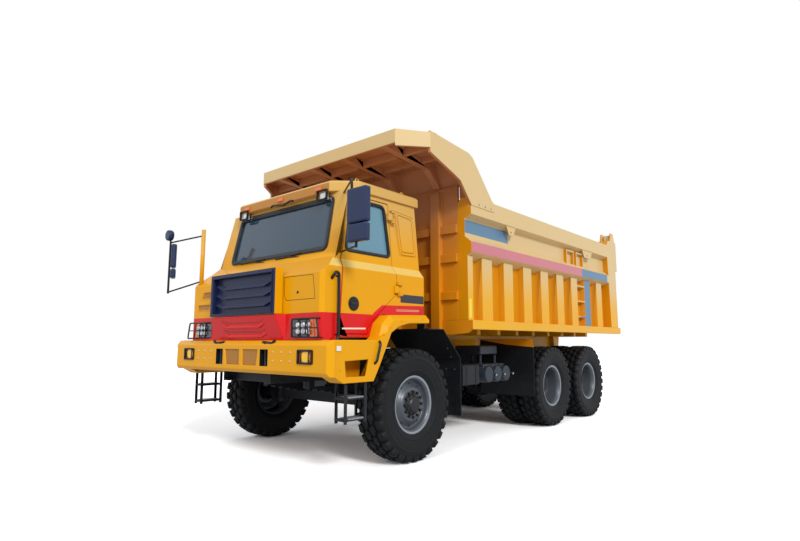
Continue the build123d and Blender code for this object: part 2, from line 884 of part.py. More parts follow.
def window_prism(points, plane, depth, gap, mode):
    """A prism through a window with round corners, its outline drawn in by gap."""
    with BuildSketch(plane) as opening:
        with BuildLine():
            Polyline(*inset(points, gap), close=True)
        make_face()
        fillet(opening.vertices(), radius=window_corner - gap)
    extrude(opening.sketch, amount=depth, mode=mode)


left_plane = Plane.YZ.offset(cab_lower_half + 100)
front_plane = Plane(origin=(0, along(cab_firewall), 0), x_dir=(1, 0, 0), z_dir=(0, -1, 0))
rear_plane = Plane(origin=(0, along(cab_rear + 50), 0), x_dir=(1, 0, 0), z_dir=(0, -1, 0))
door_window_points = [(along(y), z) for y, z in door_window]
with BuildPart() as door_opening:
    side_prism(door_outline(0, 0, 0), cab_top_half - 120, cab_lower_half + 50)
    add(cab_section(cab_wall + moving_gap), mode=Mode.SUBTRACT)
    # The jamb behind the door stands a door gap off its rear edge
    side_prism(
        (
            (door_rear - 1, door_diagonal_top_z),
            (door_rear - 1, door_top_z),
            (door_rear + door_gap, door_top_z),
            (door_rear + door_gap, door_diagonal_top_z - 5),
        ),
        cab_top_half - 120,
        cab_lower_half + 50,
    )
    add(cab_section(cab_wall + moving_gap), mode=Mode.SUBTRACT)
with BuildPart() as quarter_groove:
    side_prism(quarter_panel, cab_top_half - 120, cab_lower_half + 50)
    side_prism(
        inset(quarter_panel, groove_width),
        cab_top_half - 120,
        cab_lower_half + 50,
        mode=Mode.SUBTRACT,
    )
    add(cab_section(groove_depth), mode=Mode.SUBTRACT)
hinge_lean = (door_hinge_high[0] - door_hinge_low[0]) / (door_hinge_high[1] - door_hinge_low[1])


def hinge_cylinder(radius, middle, half, mode=Mode.ADD):
    """A cylinder on the left door's leaning hinge line, its middle given as (x, z)."""
    with BuildSketch(
        Plane(origin=(middle[0], along(door_hinge), middle[1]), z_dir=(hinge_lean, 0, 1))
    ) as disc:
        Circle(radius)
    extrude(disc.sketch, amount=half, both=True, mode=mode)


with BuildPart() as hinge_brackets:
    for hinge_x, hinge_z in (door_hinge_low, door_hinge_high):
        root_x = cab_lower_half - 5 if hinge_z < belt_low_z else cab_top_half + 8
        for plate_z in (hinge_z - hinge_half - 32, hinge_z + hinge_half + 12):
            bar((root_x, hinge_x + 15), (door_hinge + 8, -60), (plate_z, plate_z + 20))
            bar(
                (hinge_x - 10, hinge_x + 15),
                (door_hinge - 9, door_hinge + 8),
                (plate_z, plate_z + 20),
            )
        hinge_cylinder(hinge_pin, (hinge_x, hinge_z), hinge_half + 26)
with BuildPart() as cab_shell:
    add(cab_outer)
    add(cab_inner, mode=Mode.SUBTRACT)
    add(door_opening.part, mode=Mode.SUBTRACT)
    add(mirror(door_opening.part, about=Plane.YZ, mode=Mode.PRIVATE), mode=Mode.SUBTRACT)
    add(quarter_groove.part, mode=Mode.SUBTRACT)
    add(mirror(quarter_groove.part, about=Plane.YZ, mode=Mode.PRIVATE), mode=Mode.SUBTRACT)
    window_prism(windshield_outline, front_plane, -500, 0, Mode.SUBTRACT)
    window_prism(rear_window_outline, rear_plane, 200, 0, Mode.SUBTRACT)
    add(hinge_brackets.part)
    add(mirror(hinge_brackets.part, about=Plane.YZ, mode=Mode.PRIVATE))
cab_shell.part.label = "cab_shell"
export_step(cab_shell.part, "parts/cab_shell.step")

with BuildPart() as cab_glass:
    window_prism(windshield_outline, front_plane, -500, seat_gap, Mode.ADD)
    window_prism(rear_window_outline, rear_plane, 200, seat_gap, Mode.ADD)
    add(glass_outer, mode=Mode.INTERSECT)
    add(glass_inner, mode=Mode.SUBTRACT)
cab_glass.part.label = "cab_glass"
export_step(cab_glass.part, "parts/cab_glass.step")

# Doors, hinged at their rear edges
with BuildPart() as door_left:
    side_prism(
        door_outline(door_gap, door_front_gap, door_top_gap),
        cab_top_half - 120,
        cab_lower_half + 50,
    )
    add(cab_section(0), mode=Mode.INTERSECT)
    add(cab_section(cab_wall), mode=Mode.SUBTRACT)
    window_prism(door_window_points, left_plane, -400, 0, Mode.SUBTRACT)
    for hinge_x, hinge_z in (door_hinge_low, door_hinge_high):
        root_x = cab_lower_half - 5 if hinge_z < belt_low_z else cab_top_half + 8
        plan_prism(
            (
                (root_x, door_rear - 60),
                (hinge_x + 10, door_rear - 60),
                (hinge_x + 10, door_hinge + 10),
                (hinge_x - 10, door_hinge + 10),
                (hinge_x - 10, door_rear - 14),
                (root_x, door_rear - 14),
            ),
            hinge_z - hinge_half,
            hinge_z + hinge_half,
        )
        hinge_cylinder(
            hinge_pin + hinge_pin_clearance,
            (hinge_x, hinge_z),
            hinge_half + 10,
            mode=Mode.SUBTRACT,
        )
with BuildPart() as door_glass_left:
    window_prism(door_window_points, left_plane, -400, seat_gap, Mode.ADD)
    add(cab_section(glass_depth), mode=Mode.INTERSECT)
    add(cab_section(glass_depth + glass_thickness), mode=Mode.SUBTRACT)
with BuildPart() as door_right:
    mirror(door_left.part, about=Plane.YZ)
with BuildPart() as door_glass_right:
    mirror(door_glass_left.part, about=Plane.YZ)
for door, name in (
    (door_left, "door_left"),
    (door_right, "door_right"),
    (door_glass_left, "door_glass_left"),
    (door_glass_right, "door_glass_right"),
):
    door.part.label = name
    export_step(door.part, f"parts/{name}.step")

# Roof cap with the sun visor's lip
roof_half = cab_top_half + 35
roof_plan = (
    (-970, visor_front),
    (970, visor_front),
    (1110, visor_front + 120),
    (roof_half, visor_front + 260),
    (roof_half, cab_rear + 40),
    (-roof_half, cab_rear + 40),
    (-roof_half, visor_front + 260),
    (-1110, visor_front + 120),
)
# Four lifting eyes stand on the roof
eye_x = roof_half - 120
eye_thickness = 14.0
eye_radius = 16.0
eye_height = 32.0
eye_places = (-620.0, 240.0)
with BuildPart() as roof_visor:
    plan_prism(roof_plan, cab_top_z + seat_gap, cab_top_z + roof_height)
    chamfer(roof_visor.faces().sort_by(Axis.Z)[-1].edges(), 28)
    for side in (-1, 1):
        for place in eye_places:
            low_x = side * eye_x - eye_thickness / 2
            high_x = side * eye_x + eye_thickness / 2
            side_prism(
                (
                    (place - 48, cab_top_z + roof_height - 5),
                    (place - 24, cab_top_z + roof_height + 60),
                    (place + 24, cab_top_z + roof_height + 60),
                    (place + 48, cab_top_z + roof_height - 5),
                ),
                low_x,
                high_x,
            )
            cross_cylinder(
                eye_radius,
                low_x,
                high_x,
                place,
                cab_top_z + roof_height + eye_height,
                mode=Mode.SUBTRACT,
            )
roof_visor.part.label = "roof_visor"
export_step(roof_visor.part, "parts/roof_visor.step")

# Seats, and the dashboard with its column and wheel
seat_width = 500.0
with BuildPart() as cab_seats:
    for side in (-1, 1):
        x_range = (side * 620 - seat_width / 2, side * 620 + seat_width / 2)
        side_prism(
            (
                (-330, cab_floor_rear_z + cab_wall + seat_gap),
                (180, cab_floor_rear_z + cab_wall + seat_gap),
                (180, 2230),
                (310, 2900),
                (200, 2930),
                (60, 2300),
                (-400, 2300),
                (-400, 2160),
                (-330, 2130),
            ),
            *x_range,
        )
cab_seats.part.label = "cab_seats"
export_step(cab_seats.part, "parts/cab_seats.step")

dash_half = cab_belt_half - cab_wall - 30
wheel_middle = (620.0, -560.0, 2480.0)
with BuildPart() as dashboard:
    side_prism(
        (
            (cab_firewall + cab_wall + seat_gap, windshield_base_z - 390),
            (-800, windshield_base_z - 390),
            (-760, windshield_base_z - 190),
            (-830, windshield_base_z - 100),
            (-960, windshield_base_z - 90),
            (cab_firewall + cab_wall + seat_gap, windshield_base_z - 170),
        ),
        -dash_half,
        dash_half,
    )
    column_plane = Plane(
        origin=(wheel_middle[0], along(wheel_middle[1]), wheel_middle[2]),
        x_dir=(1, 0, 0),
        z_dir=(0, 0.55, 0.83),
    )
    with BuildSketch(column_plane):
        Circle(28)
    extrude(amount=-400)
    with BuildSketch(column_plane):
        Circle(225)
        Circle(195, mode=Mode.SUBTRACT)
        Rectangle(400, 40)
    extrude(amount=26)
dashboard.part.label = "dashboard"
export_step(dashboard.part, "parts/dashboard.step")

# Fenders: a faceted flare over each front wheel and the step panel ahead of it
fender_low_z = 1010.0
# Columns: y, z, from the panel's front corner along its foot, up the arch and back over the flare
fender_outline = (
    (bumper_rear + seat_gap, 1085.0),
    (bumper_rear + 24, 1072.0),
    (bumper_rear + 135, fender_low_z),
    (-784.0, fender_low_z),
    (-675.0, 1195.0),
    (-521.0, 1482.0),
    (-485.0, 1555.0),
    (-346.0, 1632.0),
    (-159.0, 1673.0),
    (240.0, 1684.0),
    (240.0, 1790.0),
    (-463.0, 1766.0),
    (-587.0, 1664.0),
    (-643.0, 1509.0),
    (-700.0, 1470.0),
    (bumper_rear + seat_gap, 1470.0),
)
flare_corners = slice(10, 14)
flare_chamfer = 60.0
fender_skin = 22.0
# Columns: y, z of the opening for the climber's foot
foot_opening = ((-1211.0, 1076.0), (-1229.0, 1242.0), (-865.0, 1255.0), (-913.0, 1073.0))
fender_inner_x = cab_lower_half + seat_gap


def flare_edges(block, corners):
    """The outer edges of a fender block that run between these corners, in order."""
    outer_face = block.faces().sort_by(Axis.X)[-1]
    edges = []
    for start, end in zip(corners, corners[1:]):
        middle_y = along((start[0] + end[0]) / 2)
        middle_z = (start[1] + end[1]) / 2
        edges.append(
            min(
                outer_face.edges(),
                key=lambda edge: abs(edge.center().Y - middle_y) + abs(edge.center().Z - middle_z),
            )
        )
    return edges


hollow_outline = inset(fender_outline, fender_skin)
with BuildPart() as fender_hollow:
    side_prism(hollow_outline, fender_inner_x - 20, fender_outer_x - fender_skin)
    chamfer(flare_edges(fender_hollow, hollow_outline[flare_corners]), flare_chamfer - 15)
with BuildPart() as fenders:
    side_prism(fender_outline, fender_inner_x, fender_outer_x)
    chamfer(flare_edges(fenders, fender_outline[flare_corners]), flare_chamfer)
    add(fender_hollow.part, mode=Mode.SUBTRACT)
    side_prism(
        foot_opening,
        fender_outer_x - fender_skin - 1,
        fender_outer_x,
        mode=Mode.SUBTRACT,
    )
    mirror(about=Plane.YZ)
fenders.part.label = "fenders"
export_step(fenders.part, "parts/fenders.step")

# Entry steps under the step panels
step_y = (-1190.0, -850.0)
step_x = (1400.0, 1560.0)
upright_width = 40.0
tread_heights = (615.0, 840.0)
with BuildPart() as entry_steps:
    for upright_x in (step_x[0], step_x[1] - 14):
        for place in (step_y[0], step_y[1] - upright_width):
            bar(
                (upright_x, upright_x + 14),
                (place, place + upright_width),
                (tread_heights[0] - 40, fender_low_z - seat_gap),
            )
    for height in tread_heights:
        bar((step_x[0] + 7, step_x[1] - 7), (step_y[0] + 5, step_y[1] - 5), (height - 14, height + 14))
    mirror(about=Plane.YZ)
entry_steps.part.label = "entry_steps"
export_step(entry_steps.part, "parts/entry_steps.step")

# Grab pipes beside the doors
pipe_radius = 16.0
pipe_x = cab_lower_half + 40
pipe_y = -1165.0
with BuildPart() as grab_pipes:
    upright_cylinder(pipe_radius, pipe_x, pipe_y, 1500, 2215)
    for height in (1530.0, 2180.0):
        cross_cylinder(12, cab_lower_half + seat_gap, pipe_x, pipe_y, height)
    mirror(about=Plane.YZ)
grab_pipes.part.label = "grab_pipes"
export_step(grab_pipes.part, "parts/grab_pipes.step")

# Mudguards: sheets behind the front wheels and ahead of the bogie
guard_thickness = 12.0
guard_inner_x = 560.0
with BuildPart() as mudguards:
    side_prism(
        (
            (205, 1618),
            (543, 1618),
            (934, 1230),
            (934, 460),
            (934 - guard_thickness, 460),
            (934 - guard_thickness, 1225),
            (538, 1618 - guard_thickness),
            (205, 1618 - guard_thickness),
        ),
        guard_inner_x,
        fender_outer_x,
    )
    # A bracket up to the flare's underside
    bar((fender_inner_x + 40, fender_outer_x - 60), (208, 234), (1610, 1682.7))
    bar((rail_outer_x + seat_gap, guard_inner_x), (922, 934), (1080, 1230))
    sheet = (wheelbase - 800, wheelbase - 800 + guard_thickness)
    bar((guard_inner_x, fender_outer_x), sheet, (560, 1500))
    bar((rail_outer_x + seat_gap, guard_inner_x), sheet, (1080, 1300))
    mirror(about=Plane.YZ)
mudguards.part.label = "mudguards"
export_step(mudguards.part, "parts/mudguards.step")

# Lamps
lamp_depth = 34.0
with BuildPart() as clear_lamps:
    for side in (-1, 1):
        low_x, high_x = sorted((side * (lamp_recess_x[0] + seat_gap), side * 1180))
        bar(
            (low_x, high_x),
            (nose_front + 4, nose_front + 4 + lamp_depth),
            (lamp_recess_z[0] + seat_gap, lamp_recess_z[1] - seat_gap),
        )
        bar(
            (side * 850 - 60, side * 850 + 60),
            (visor_front + 5, visor_front + 50),
            (cab_top_z - 90, cab_top_z - seat_gap),
        )
clear_lamps.part.label = "clear_lamps"
export_step(clear_lamps.part, "parts/clear_lamps.step")

with BuildPart() as amber_lamps:
    for side in (-1, 1):
        low_x, high_x = sorted((side * 1184, side * (lamp_recess_x[1] - seat_gap)))
        bar(
            (low_x, high_x),
            (nose_front + 4, nose_front + 4 + lamp_depth),
            (lamp_recess_z[0] + seat_gap, lamp_recess_z[1] - seat_gap),
        )
        low_x, high_x = sorted(
            (side * (fog_lamp_x[0] + seat_gap), side * (fog_lamp_x[1] - seat_gap))
        )
        bar(
            (low_x, high_x),
            (bumper_front + 12, bumper_front + recess_depth),
            (fog_lamp_z[0] + seat_gap, fog_lamp_z[1] - seat_gap),
        )
    for place in (-780.0, 0.0, 780.0):
        bar(
            (place - 55, place + 55),
            (visor_front - 18, visor_front - seat_gap),
            (cab_top_z + 30, cab_top_z + 75),
        )
amber_lamps.part.label = "amber_lamps"
export_step(amber_lamps.part, "parts/amber_lamps.step")

# Mirrors: arms and heads on both sides, with a pole on the right
pole_x = -1270.0
pole_y = -1330.0
pole_radius = 28.0
pole_foot_z = nose_top_z + ledge_slope * (pole_y + pole_radius - nose_front) + seat_gap
arm_radius = 11.0
post_radius = 15.0
left_head_x = (mirror_reach - 300.0, mirror_reach)
left_head_y = -1200.0
# The right heads are turned edge-on to the truck's left front
right_head_turn = (0.89, -0.45)
right_head_half = 95.0
right_head_depth = 38.0
right_rod_y = -1540.0
right_head_middle_x = -mirror_reach + 0.89 * right_head_half + 0.45 * right_head_depth
right_rod_x = right_head_middle_x - 0.45 * (right_head_depth + post_radius + seat_gap)
right_head_middle_y = right_rod_y + 0.89 * (right_head_depth + post_radius + seat_gap)
right_rod_top_z = 2920.0
round_head_radius = 80.0


def rod(start, end, radius):
    """A round rod from start to end, each as (x, y from the front axle, z)."""
    first = Vector(start[0], along(start[1]), start[2])
    last = Vector(end[0], along(end[1]), end[2])
    with BuildSketch(Plane(origin=first, z_dir=last - first)) as disc:
        Circle(radius)
    extrude(disc.sketch, amount=(last - first).length)


left_rod_x = mirror_reach - 260
left_bar_x = mirror_reach - 180
with BuildPart() as mirror_arms:
    rod((1120, -840, 3250), (left_rod_x, left_head_y, 3240), arm_radius)
    upright_cylinder(post_radius, left_rod_x, left_head_y, 3127.3, 3256)
    rod((1200, -1000, 2480), (left_bar_x, left_head_y, 2480), arm_radius)
    add(cab_form(-seat_gap), mode=Mode.SUBTRACT)
    upright_cylinder(post_radius, left_bar_x, left_head_y, 2464, 2522.7)
    upright_cylinder(pole_radius, pole_x, pole_y, pole_foot_z, 3040)
    upright_cylinder(post_radius, right_rod_x, right_rod_y, 2145, right_rod_top_z - seat_gap)
    rod((pole_x, pole_y, 2960), (right_rod_x, right_rod_y, 2895), arm_radius)
    rod((pole_x, pole_y, 2300), (right_rod_x, right_rod_y, 2165), arm_radius)
mirror_arms.part.label = "mirror_arms"
export_step(mirror_arms.part, "parts/mirror_arms.step")

with BuildPart() as mirror_heads:
    bar(left_head_x, (left_head_y - 45, left_head_y + 45), (2733, 3127))
    bar(left_head_x, (left_head_y - 40, left_head_y + 40), (2523, 2723))
    bar(
        (left_bar_x - 60, left_bar_x + 60),
        (left_head_y - 15, left_head_y + 15),
        (2720, 2736),
    )
    for low_z, high_z in ((2370.0, 2505.0), (2525.0, 2870.0)):
        corners = []
        for reach, depth in ((-1, -1), (1, -1), (1, 1), (-1, 1)):
            corners.append(
                (
                    right_head_middle_x
                    + reach * right_head_half * right_head_turn[0]
                    - depth * right_head_depth * right_head_turn[1],
                    right_head_middle_y
                    + reach * right_head_half * right_head_turn[1]
                    + depth * right_head_depth * right_head_turn[0],
                )
            )
        plan_prism(corners, low_z, high_z)
    long_cylinder(
        round_head_radius,
        right_rod_x,
        right_rod_top_z + round_head_radius,
        -front_overhang,
        right_rod_y + 20,
    )
mirror_heads.part.label = "mirror_heads"
export_step(mirror_heads.part, "parts/mirror_heads.step")

# Tyre and rims, each built once about the origin across X, then placed
bottom_angle = -90.0 + 180.0 / lug_count
half_width = tyre_width / 2
lug_half_width = half_width - shoulder_width
lug_root_radius = 600.0


def polygon_prism(radius, x_low, x_high, mode=Mode.ADD):
    """A prism across X with as many sides as the tyre has lugs, one of them at the bottom."""
    with BuildSketch(Plane.YZ.offset(x_low)) as outline:
        RegularPolygon(radius, lug_count, rotation=bottom_angle)
    extrude(outline.sketch, amount=x_high - x_low, mode=mode)


def polygon_frustum(place, radius, end_place, end_radius, mode=Mode.ADD):
    """A tapered polygon across X, from its larger end to its smaller one."""
    outward = 1 if end_place > place else -1
    start = Plane(origin=(place, 0, 0), x_dir=(0, outward, 0), z_dir=(outward, 0, 0))
    length = abs(end_place - place)
    lean = degrees(atan((radius - end_radius) * cos(pi / lug_count) / length))
    with BuildSketch(start) as outline:
        RegularPolygon(radius, lug_count, rotation=bottom_angle)
    extrude(outline.sketch, amount=length, taper=lean, mode=mode)


with BuildPart() as tyre:
    polygon_prism(casing_radius, -lug_half_width, lug_half_width)
    for side in (-1, 1):
        polygon_frustum(side * lug_half_width, casing_radius, side * half_width, shoulder_radius)
    with BuildSketch(Plane.YZ.offset(-lug_half_width)):
        with PolarLocations((tyre_radius + lug_root_radius) / 2, lug_count, start_angle=-90):
            Rectangle(tyre_radius - lug_root_radius, lug_length)
    extrude(amount=2 * lug_half_width)
    for side in (-1, 1):
        polygon_frustum(
            side * half_width,
            sidewall_inner_radius,
            side * bead_half_width,
            bead_radius,
            mode=Mode.SUBTRACT,
        )
    polygon_prism(rim_seat_radius + seat_gap, -half_width, half_width, mode=Mode.SUBTRACT)

rim_half_width = bead_half_width + seat_gap + rim_flange_thickness


def rim_barrel(middle_x):
    """The rim's barrel with its two flanges, about the X axis."""
    polygon_prism(rim_seat_radius, middle_x - rim_half_width, middle_x + rim_half_width)
    for low_x in (-rim_half_width, rim_half_width - rim_flange_thickness):
        polygon_prism(
            rim_flange_radius, middle_x + low_x, middle_x + low_x + rim_flange_thickness
        )
    polygon_prism(
        rim_seat_radius - rim_wall,
        middle_x - rim_half_width,
        middle_x + rim_half_width,
        mode=Mode.SUBTRACT,
    )


def axis_cylinder(radius, x_low, x_high, mode=Mode.ADD):
    """A cylinder on the X axis."""
    with BuildSketch(Plane.YZ.offset(x_low)) as disc:
        Circle(radius)
    extrude(disc.sketch, amount=x_high - x_low, mode=mode)


single_x = tyre_outer_x - half_width
front_hub_inner = spindle_flange_x + spindle_flange_thickness + seat_gap - single_x
with BuildPart() as front_rim:
    rim_barrel(0)
    polygon_prism(
        rim_seat_radius - rim_wall / 2,
        front_disc_offset,
        front_disc_offset + rim_disc_thickness,
    )
    axis_cylinder(hub_radius, front_hub_inner, front_disc_offset + 95)
    axis_cylinder(hub_radius * 0.7, 0, front_disc_offset + 125)
    axis_cylinder(
        spindle_radius + spindle_clearance,
        front_hub_inner,
        spindle_end_x - single_x + 2,
        mode=Mode.SUBTRACT,
    )

dual_half = dual_spacing / 2
rear_hub_outer = 190.0
rear_hub_inner = rear_tube_end_x + 30 - dual_middle_x
with BuildPart() as rear_rims:
    rim_barrel(-dual_half)
    rim_barrel(dual_half)
    for side in (-1, 1):
        rim_edge = side * (dual_half - rim_half_width)
        polygon_frustum(rim_edge, rim_seat_radius, 0, 250)
    for side in (-1, 1):
        rim_edge = side * (dual_half - rim_half_width)
        polygon_frustum(
            rim_edge + side * 1,
            rim_seat_radius - rim_wall,
            side * rim_disc_thickness,
            232,
            mode=Mode.SUBTRACT,
        )
    axis_cylinder(hub_radius, rear_hub_inner, rear_hub_outer)
    axis_cylinder(
        spindle_radius + spindle_clearance,
        rear_hub_inner,
        rear_spindle_end_x - dual_middle_x + 2,
        mode=Mode.SUBTRACT,
    )

# Columns: name, middle across the truck, place along it, the tyre's places across the wheel
wheels = (
    ("front_left", single_x, 0.0, (0.0,)),
    ("front_right", -single_x, 0.0, (0.0,)),
    ("middle_left", dual_middle_x, wheelbase, (-dual_half, dual_half)),
    ("middle_right", -dual_middle_x, wheelbase, (-dual_half, dual_half)),
    ("rear_left", dual_middle_x, wheelbase + bogie_spacing, (-dual_half, dual_half)),
    ("rear_right", -dual_middle_x, wheelbase + bogie_spacing, (-dual_half, dual_half)),
)
for name, middle_x, place, tyre_places in wheels:
    with BuildPart() as tyres:
        for offset_x in tyre_places:
            with Locations((middle_x + offset_x, along(place), tyre_radius)):
                add(tyre.part)
    label = f"tyre_{name}" if len(tyre_places) == 1 else f"tyres_{name}"
    tyres.part.label = label
    export_step(tyres.part, f"parts/{label}.step")
    rim_source = front_rim.part if len(tyre_places) == 1 else rear_rims.part
    with BuildPart() as rims:
        with Locations(Location((middle_x, along(place), tyre_radius),
                                (0, 0, 0 if middle_x > 0 else 180))):
            add(rim_source)
    label = f"rim_{name}" if len(tyre_places) == 1 else f"rims_{name}"
    rims.part.label = label
    export_step(rims.part, f"parts/{label}.step")

# Bed floor: plate, side rails, bearers, main beams and the pivot ears
beam_x = (rail_inner_x, rail_outer_x)
beam_bottom_z = rail_top_z + moving_gap
bearer_bottom_z = 1560.0
bearer_half = 1100.0
apron_half = 1374.0
ear_x = (rail_outer_x + moving_gap, rail_outer_x + 90)
recess_half = 220.0
recess_wall = 24.0
recess_rear = 1400.0
recess_top_z = 2620.0
floor_bottom_z = bed_floor_top_z - bed_floor_thickness
with BuildPart() as bed_floor:
    bar((-bed_outer_x, bed_outer_x), (bed_front, bed_floor_rear), (floor_bottom_z, bed_floor_top_z))
    for side in (-1, 1):
        low_x, high_x = sorted((side * (bed_outer_x - 90), side * bed_outer_x))
        bar((low_x, high_x), (bed_front, bed_floor_rear), (bed_rail_low_z, floor_bottom_z))
        low_x, high_x = sorted((side * beam_x[0], side * beam_x[1]))
        bar((low_x, high_x), (bed_front, bed_pivot - 70), (beam_bottom_z, floor_bottom_z))
        side_prism(
            (
                (bed_pivot - 170, floor_bottom_z),
                (bed_pivot - 85, bed_pivot_z - 60),
                (bed_pivot - 40, bed_pivot_z - 90),
                (bed_pivot + 40, bed_pivot_z - 90),
                (bed_pivot + 85, bed_pivot_z - 60),
                (bed_pivot + 170, floor_bottom_z),
            ),
            side * ear_x[0],
            side * ear_x[1],
        )
    for index in range(rib_count + 1):
        place = rib_first + index * rib_pitch + rib_width / 2
        bar(
            (-bearer_half, bearer_half),
            (place - 50, place + 50),
            (bearer_bottom_z, floor_bottom_z),
        )
    front_prism(
        (
            (-bed_outer_x, floor_bottom_z + 5),
            (-bed_outer_x, 1637),
            (-bed_outer_x + 102, 1570),
            (-apron_half, 1545),
            (apron_half, 1545),
            (bed_outer_x - 102, 1570),
            (bed_outer_x, 1637),
            (bed_outer_x, floor_bottom_z + 5),
        ),
        bed_front,
        bed_front + bed_floor_thickness,
    )
    cross_cylinder(
        bed_pin_radius + seat_gap,
        -ear_x[1],
        ear_x[1],
        bed_pivot,
        bed_pivot_z,
        mode=Mode.SUBTRACT,
    )
    bar(
        (-recess_half - recess_wall - seat_gap, recess_half + recess_wall + seat_gap),
        (bed_front, recess_rear + recess_wall + seat_gap),
        (beam_bottom_z, bed_floor_top_z),
        mode=Mode.SUBTRACT,
    )
bed_floor.part.label = "bed_floor"
export_step(bed_floor.part, "parts/bed_floor.step")

# Bed sides: one section along the truck, with ribs, the rear post and the gate's lugs
side_section = (
    (bed_inner_half, bed_floor_top_z),
    (bed_panel_x, bed_floor_top_z),
    (bed_panel_x, 2620),
    (bed_outer_x, 2700),
    (bed_outer_x, 2850),
    (bed_upper_x, 2940),
    (bed_upper_x, 3200),
    (bed_outer_x, 3245),
    (bed_outer_x, bed_top_z),
    (bed_inner_half + 60, bed_top_z),
    (bed_inner_half, bed_top_z - 70),
)
post_front = rib_first + rib_count * rib_pitch - 40
rib_slope = 30.0
gate_lug = (140.0, 80.0)
gate_lug_plates = ((bed_inner_half, bed_inner_half + 30), (bed_outer_x - 30, bed_outer_x))
ladder_front = rib_first + 5 * rib_pitch + rib_width
ladder_rear = rib_first + 6 * rib_pitch
ladder_rungs = (1930.0, 2225.0, 2520.0)
cheek_inner_x = canopy_outer_x - 45
# Columns: the lug's front and rear edges under the rail
side_lugs = (
    (bed_front + 1000, bed_front + 1310),
    (bed_post_rear - 1760, bed_post_rear - 1260),
)
side_lug_x = (bed_outer_x - 30, bed_outer_x - 14)
side_lug_low_z = 3100.0
side_lug_hole = (16.0, 3150.0)
# Columns: front and rear edges of the two step frames on the upper panel
step_frames = (
    (bed_post_rear - 2420, bed_post_rear - 2090),
    (bed_post_rear - 1990, bed_post_rear - 1650),
)
step_frame_z = (2880.0, 3170.0)
step_frame_width = 28.0
with BuildPart() as bed_side:
    front_prism(side_section, bed_front, post_front)
    for lug_front, lug_rear in side_lugs:
        side_prism(
            (
                (lug_front, 3250),
                (lug_rear, 3250),
                (lug_rear - 90, side_lug_low_z),
                (lug_front + 90, side_lug_low_z),
            ),
            *side_lug_x,
        )
        cross_cylinder(
            side_lug_hole[0],
            *side_lug_x,
            (lug_front + lug_rear) / 2,
            side_lug_hole[1],
            mode=Mode.SUBTRACT,
        )
    rib_places = [bed_front - 150] + [rib_first + index * rib_pitch for index in range(rib_count)]
    for place in rib_places:
        plan_prism(
            (
                (bed_panel_x - 2, max(place - rib_slope, bed_front)),
                (bed_rib_x, max(place, bed_front)),
                (bed_rib_x, place + rib_width),
                (bed_panel_x - 2, place + rib_width + rib_slope),
            ),
            bed_floor_top_z,
            rib_top_z,
        )
    side_prism(
        (
            (post_front, bed_floor_top_z),
            (bed_post_rear, bed_floor_top_z),
            (bed_post_rear, 2980),
            (bed_rear, 2980),
            (bed_rear, bed_top_z + 110),
            (post_front + 30, bed_top_z + 110),
            (post_front - 60, bed_top_z),
            (post_front - 60, bed_top_z - 250),
        ),
        bed_inner_half,
        bed_outer_x,
    )
    bar(
        (cheek_inner_x - seat_gap, bed_outer_x + 10),
        (bed_front, cheek_rear + seat_gap),
        (cheek_joint_z - seat_gap, bed_top_z + 10),
        mode=Mode.SUBTRACT,
    )
    for plate in gate_lug_plates:
        side_prism(
            (
                (gate_hinge - gate_lug[0], bed_top_z + 100),
                (gate_hinge - 60, gate_hinge_z + gate_lug[1]),
                (gate_hinge + 60, gate_hinge_z + gate_lug[1]),
                (gate_hinge + gate_lug[0], bed_top_z + 100),
            ),
            *plate,
        )
    cross_cylinder(
        gate_pin_radius, bed_inner_half, bed_outer_x, gate_hinge, gate_hinge_z
    )
with BuildPart() as bed_sides:
    add(bed_side.part)
    for frame_front, frame_rear in step_frames:
        corners = (
            (frame_front, step_frame_z[0]),
            (frame_rear, step_frame_z[0]),
            (frame_rear, step_frame_z[1]),
            (frame_front, step_frame_z[1]),
        )
        side_prism(corners, bed_upper_x - 4, bed_upper_x + 62)
        side_prism(
            inset(corners, step_frame_width), bed_upper_x, bed_upper_x + 62, mode=Mode.SUBTRACT
        )
    for height in ladder_rungs:
        bar(
            (bed_panel_x, bed_rib_x),
            (ladder_front, ladder_rear),
            (height - 15, height + 15),
        )
    mirror(bed_side.part, about=Plane.YZ)
bed_sides.part.label = "bed_sides"
export_step(bed_sides.part, "parts/bed_sides.step")

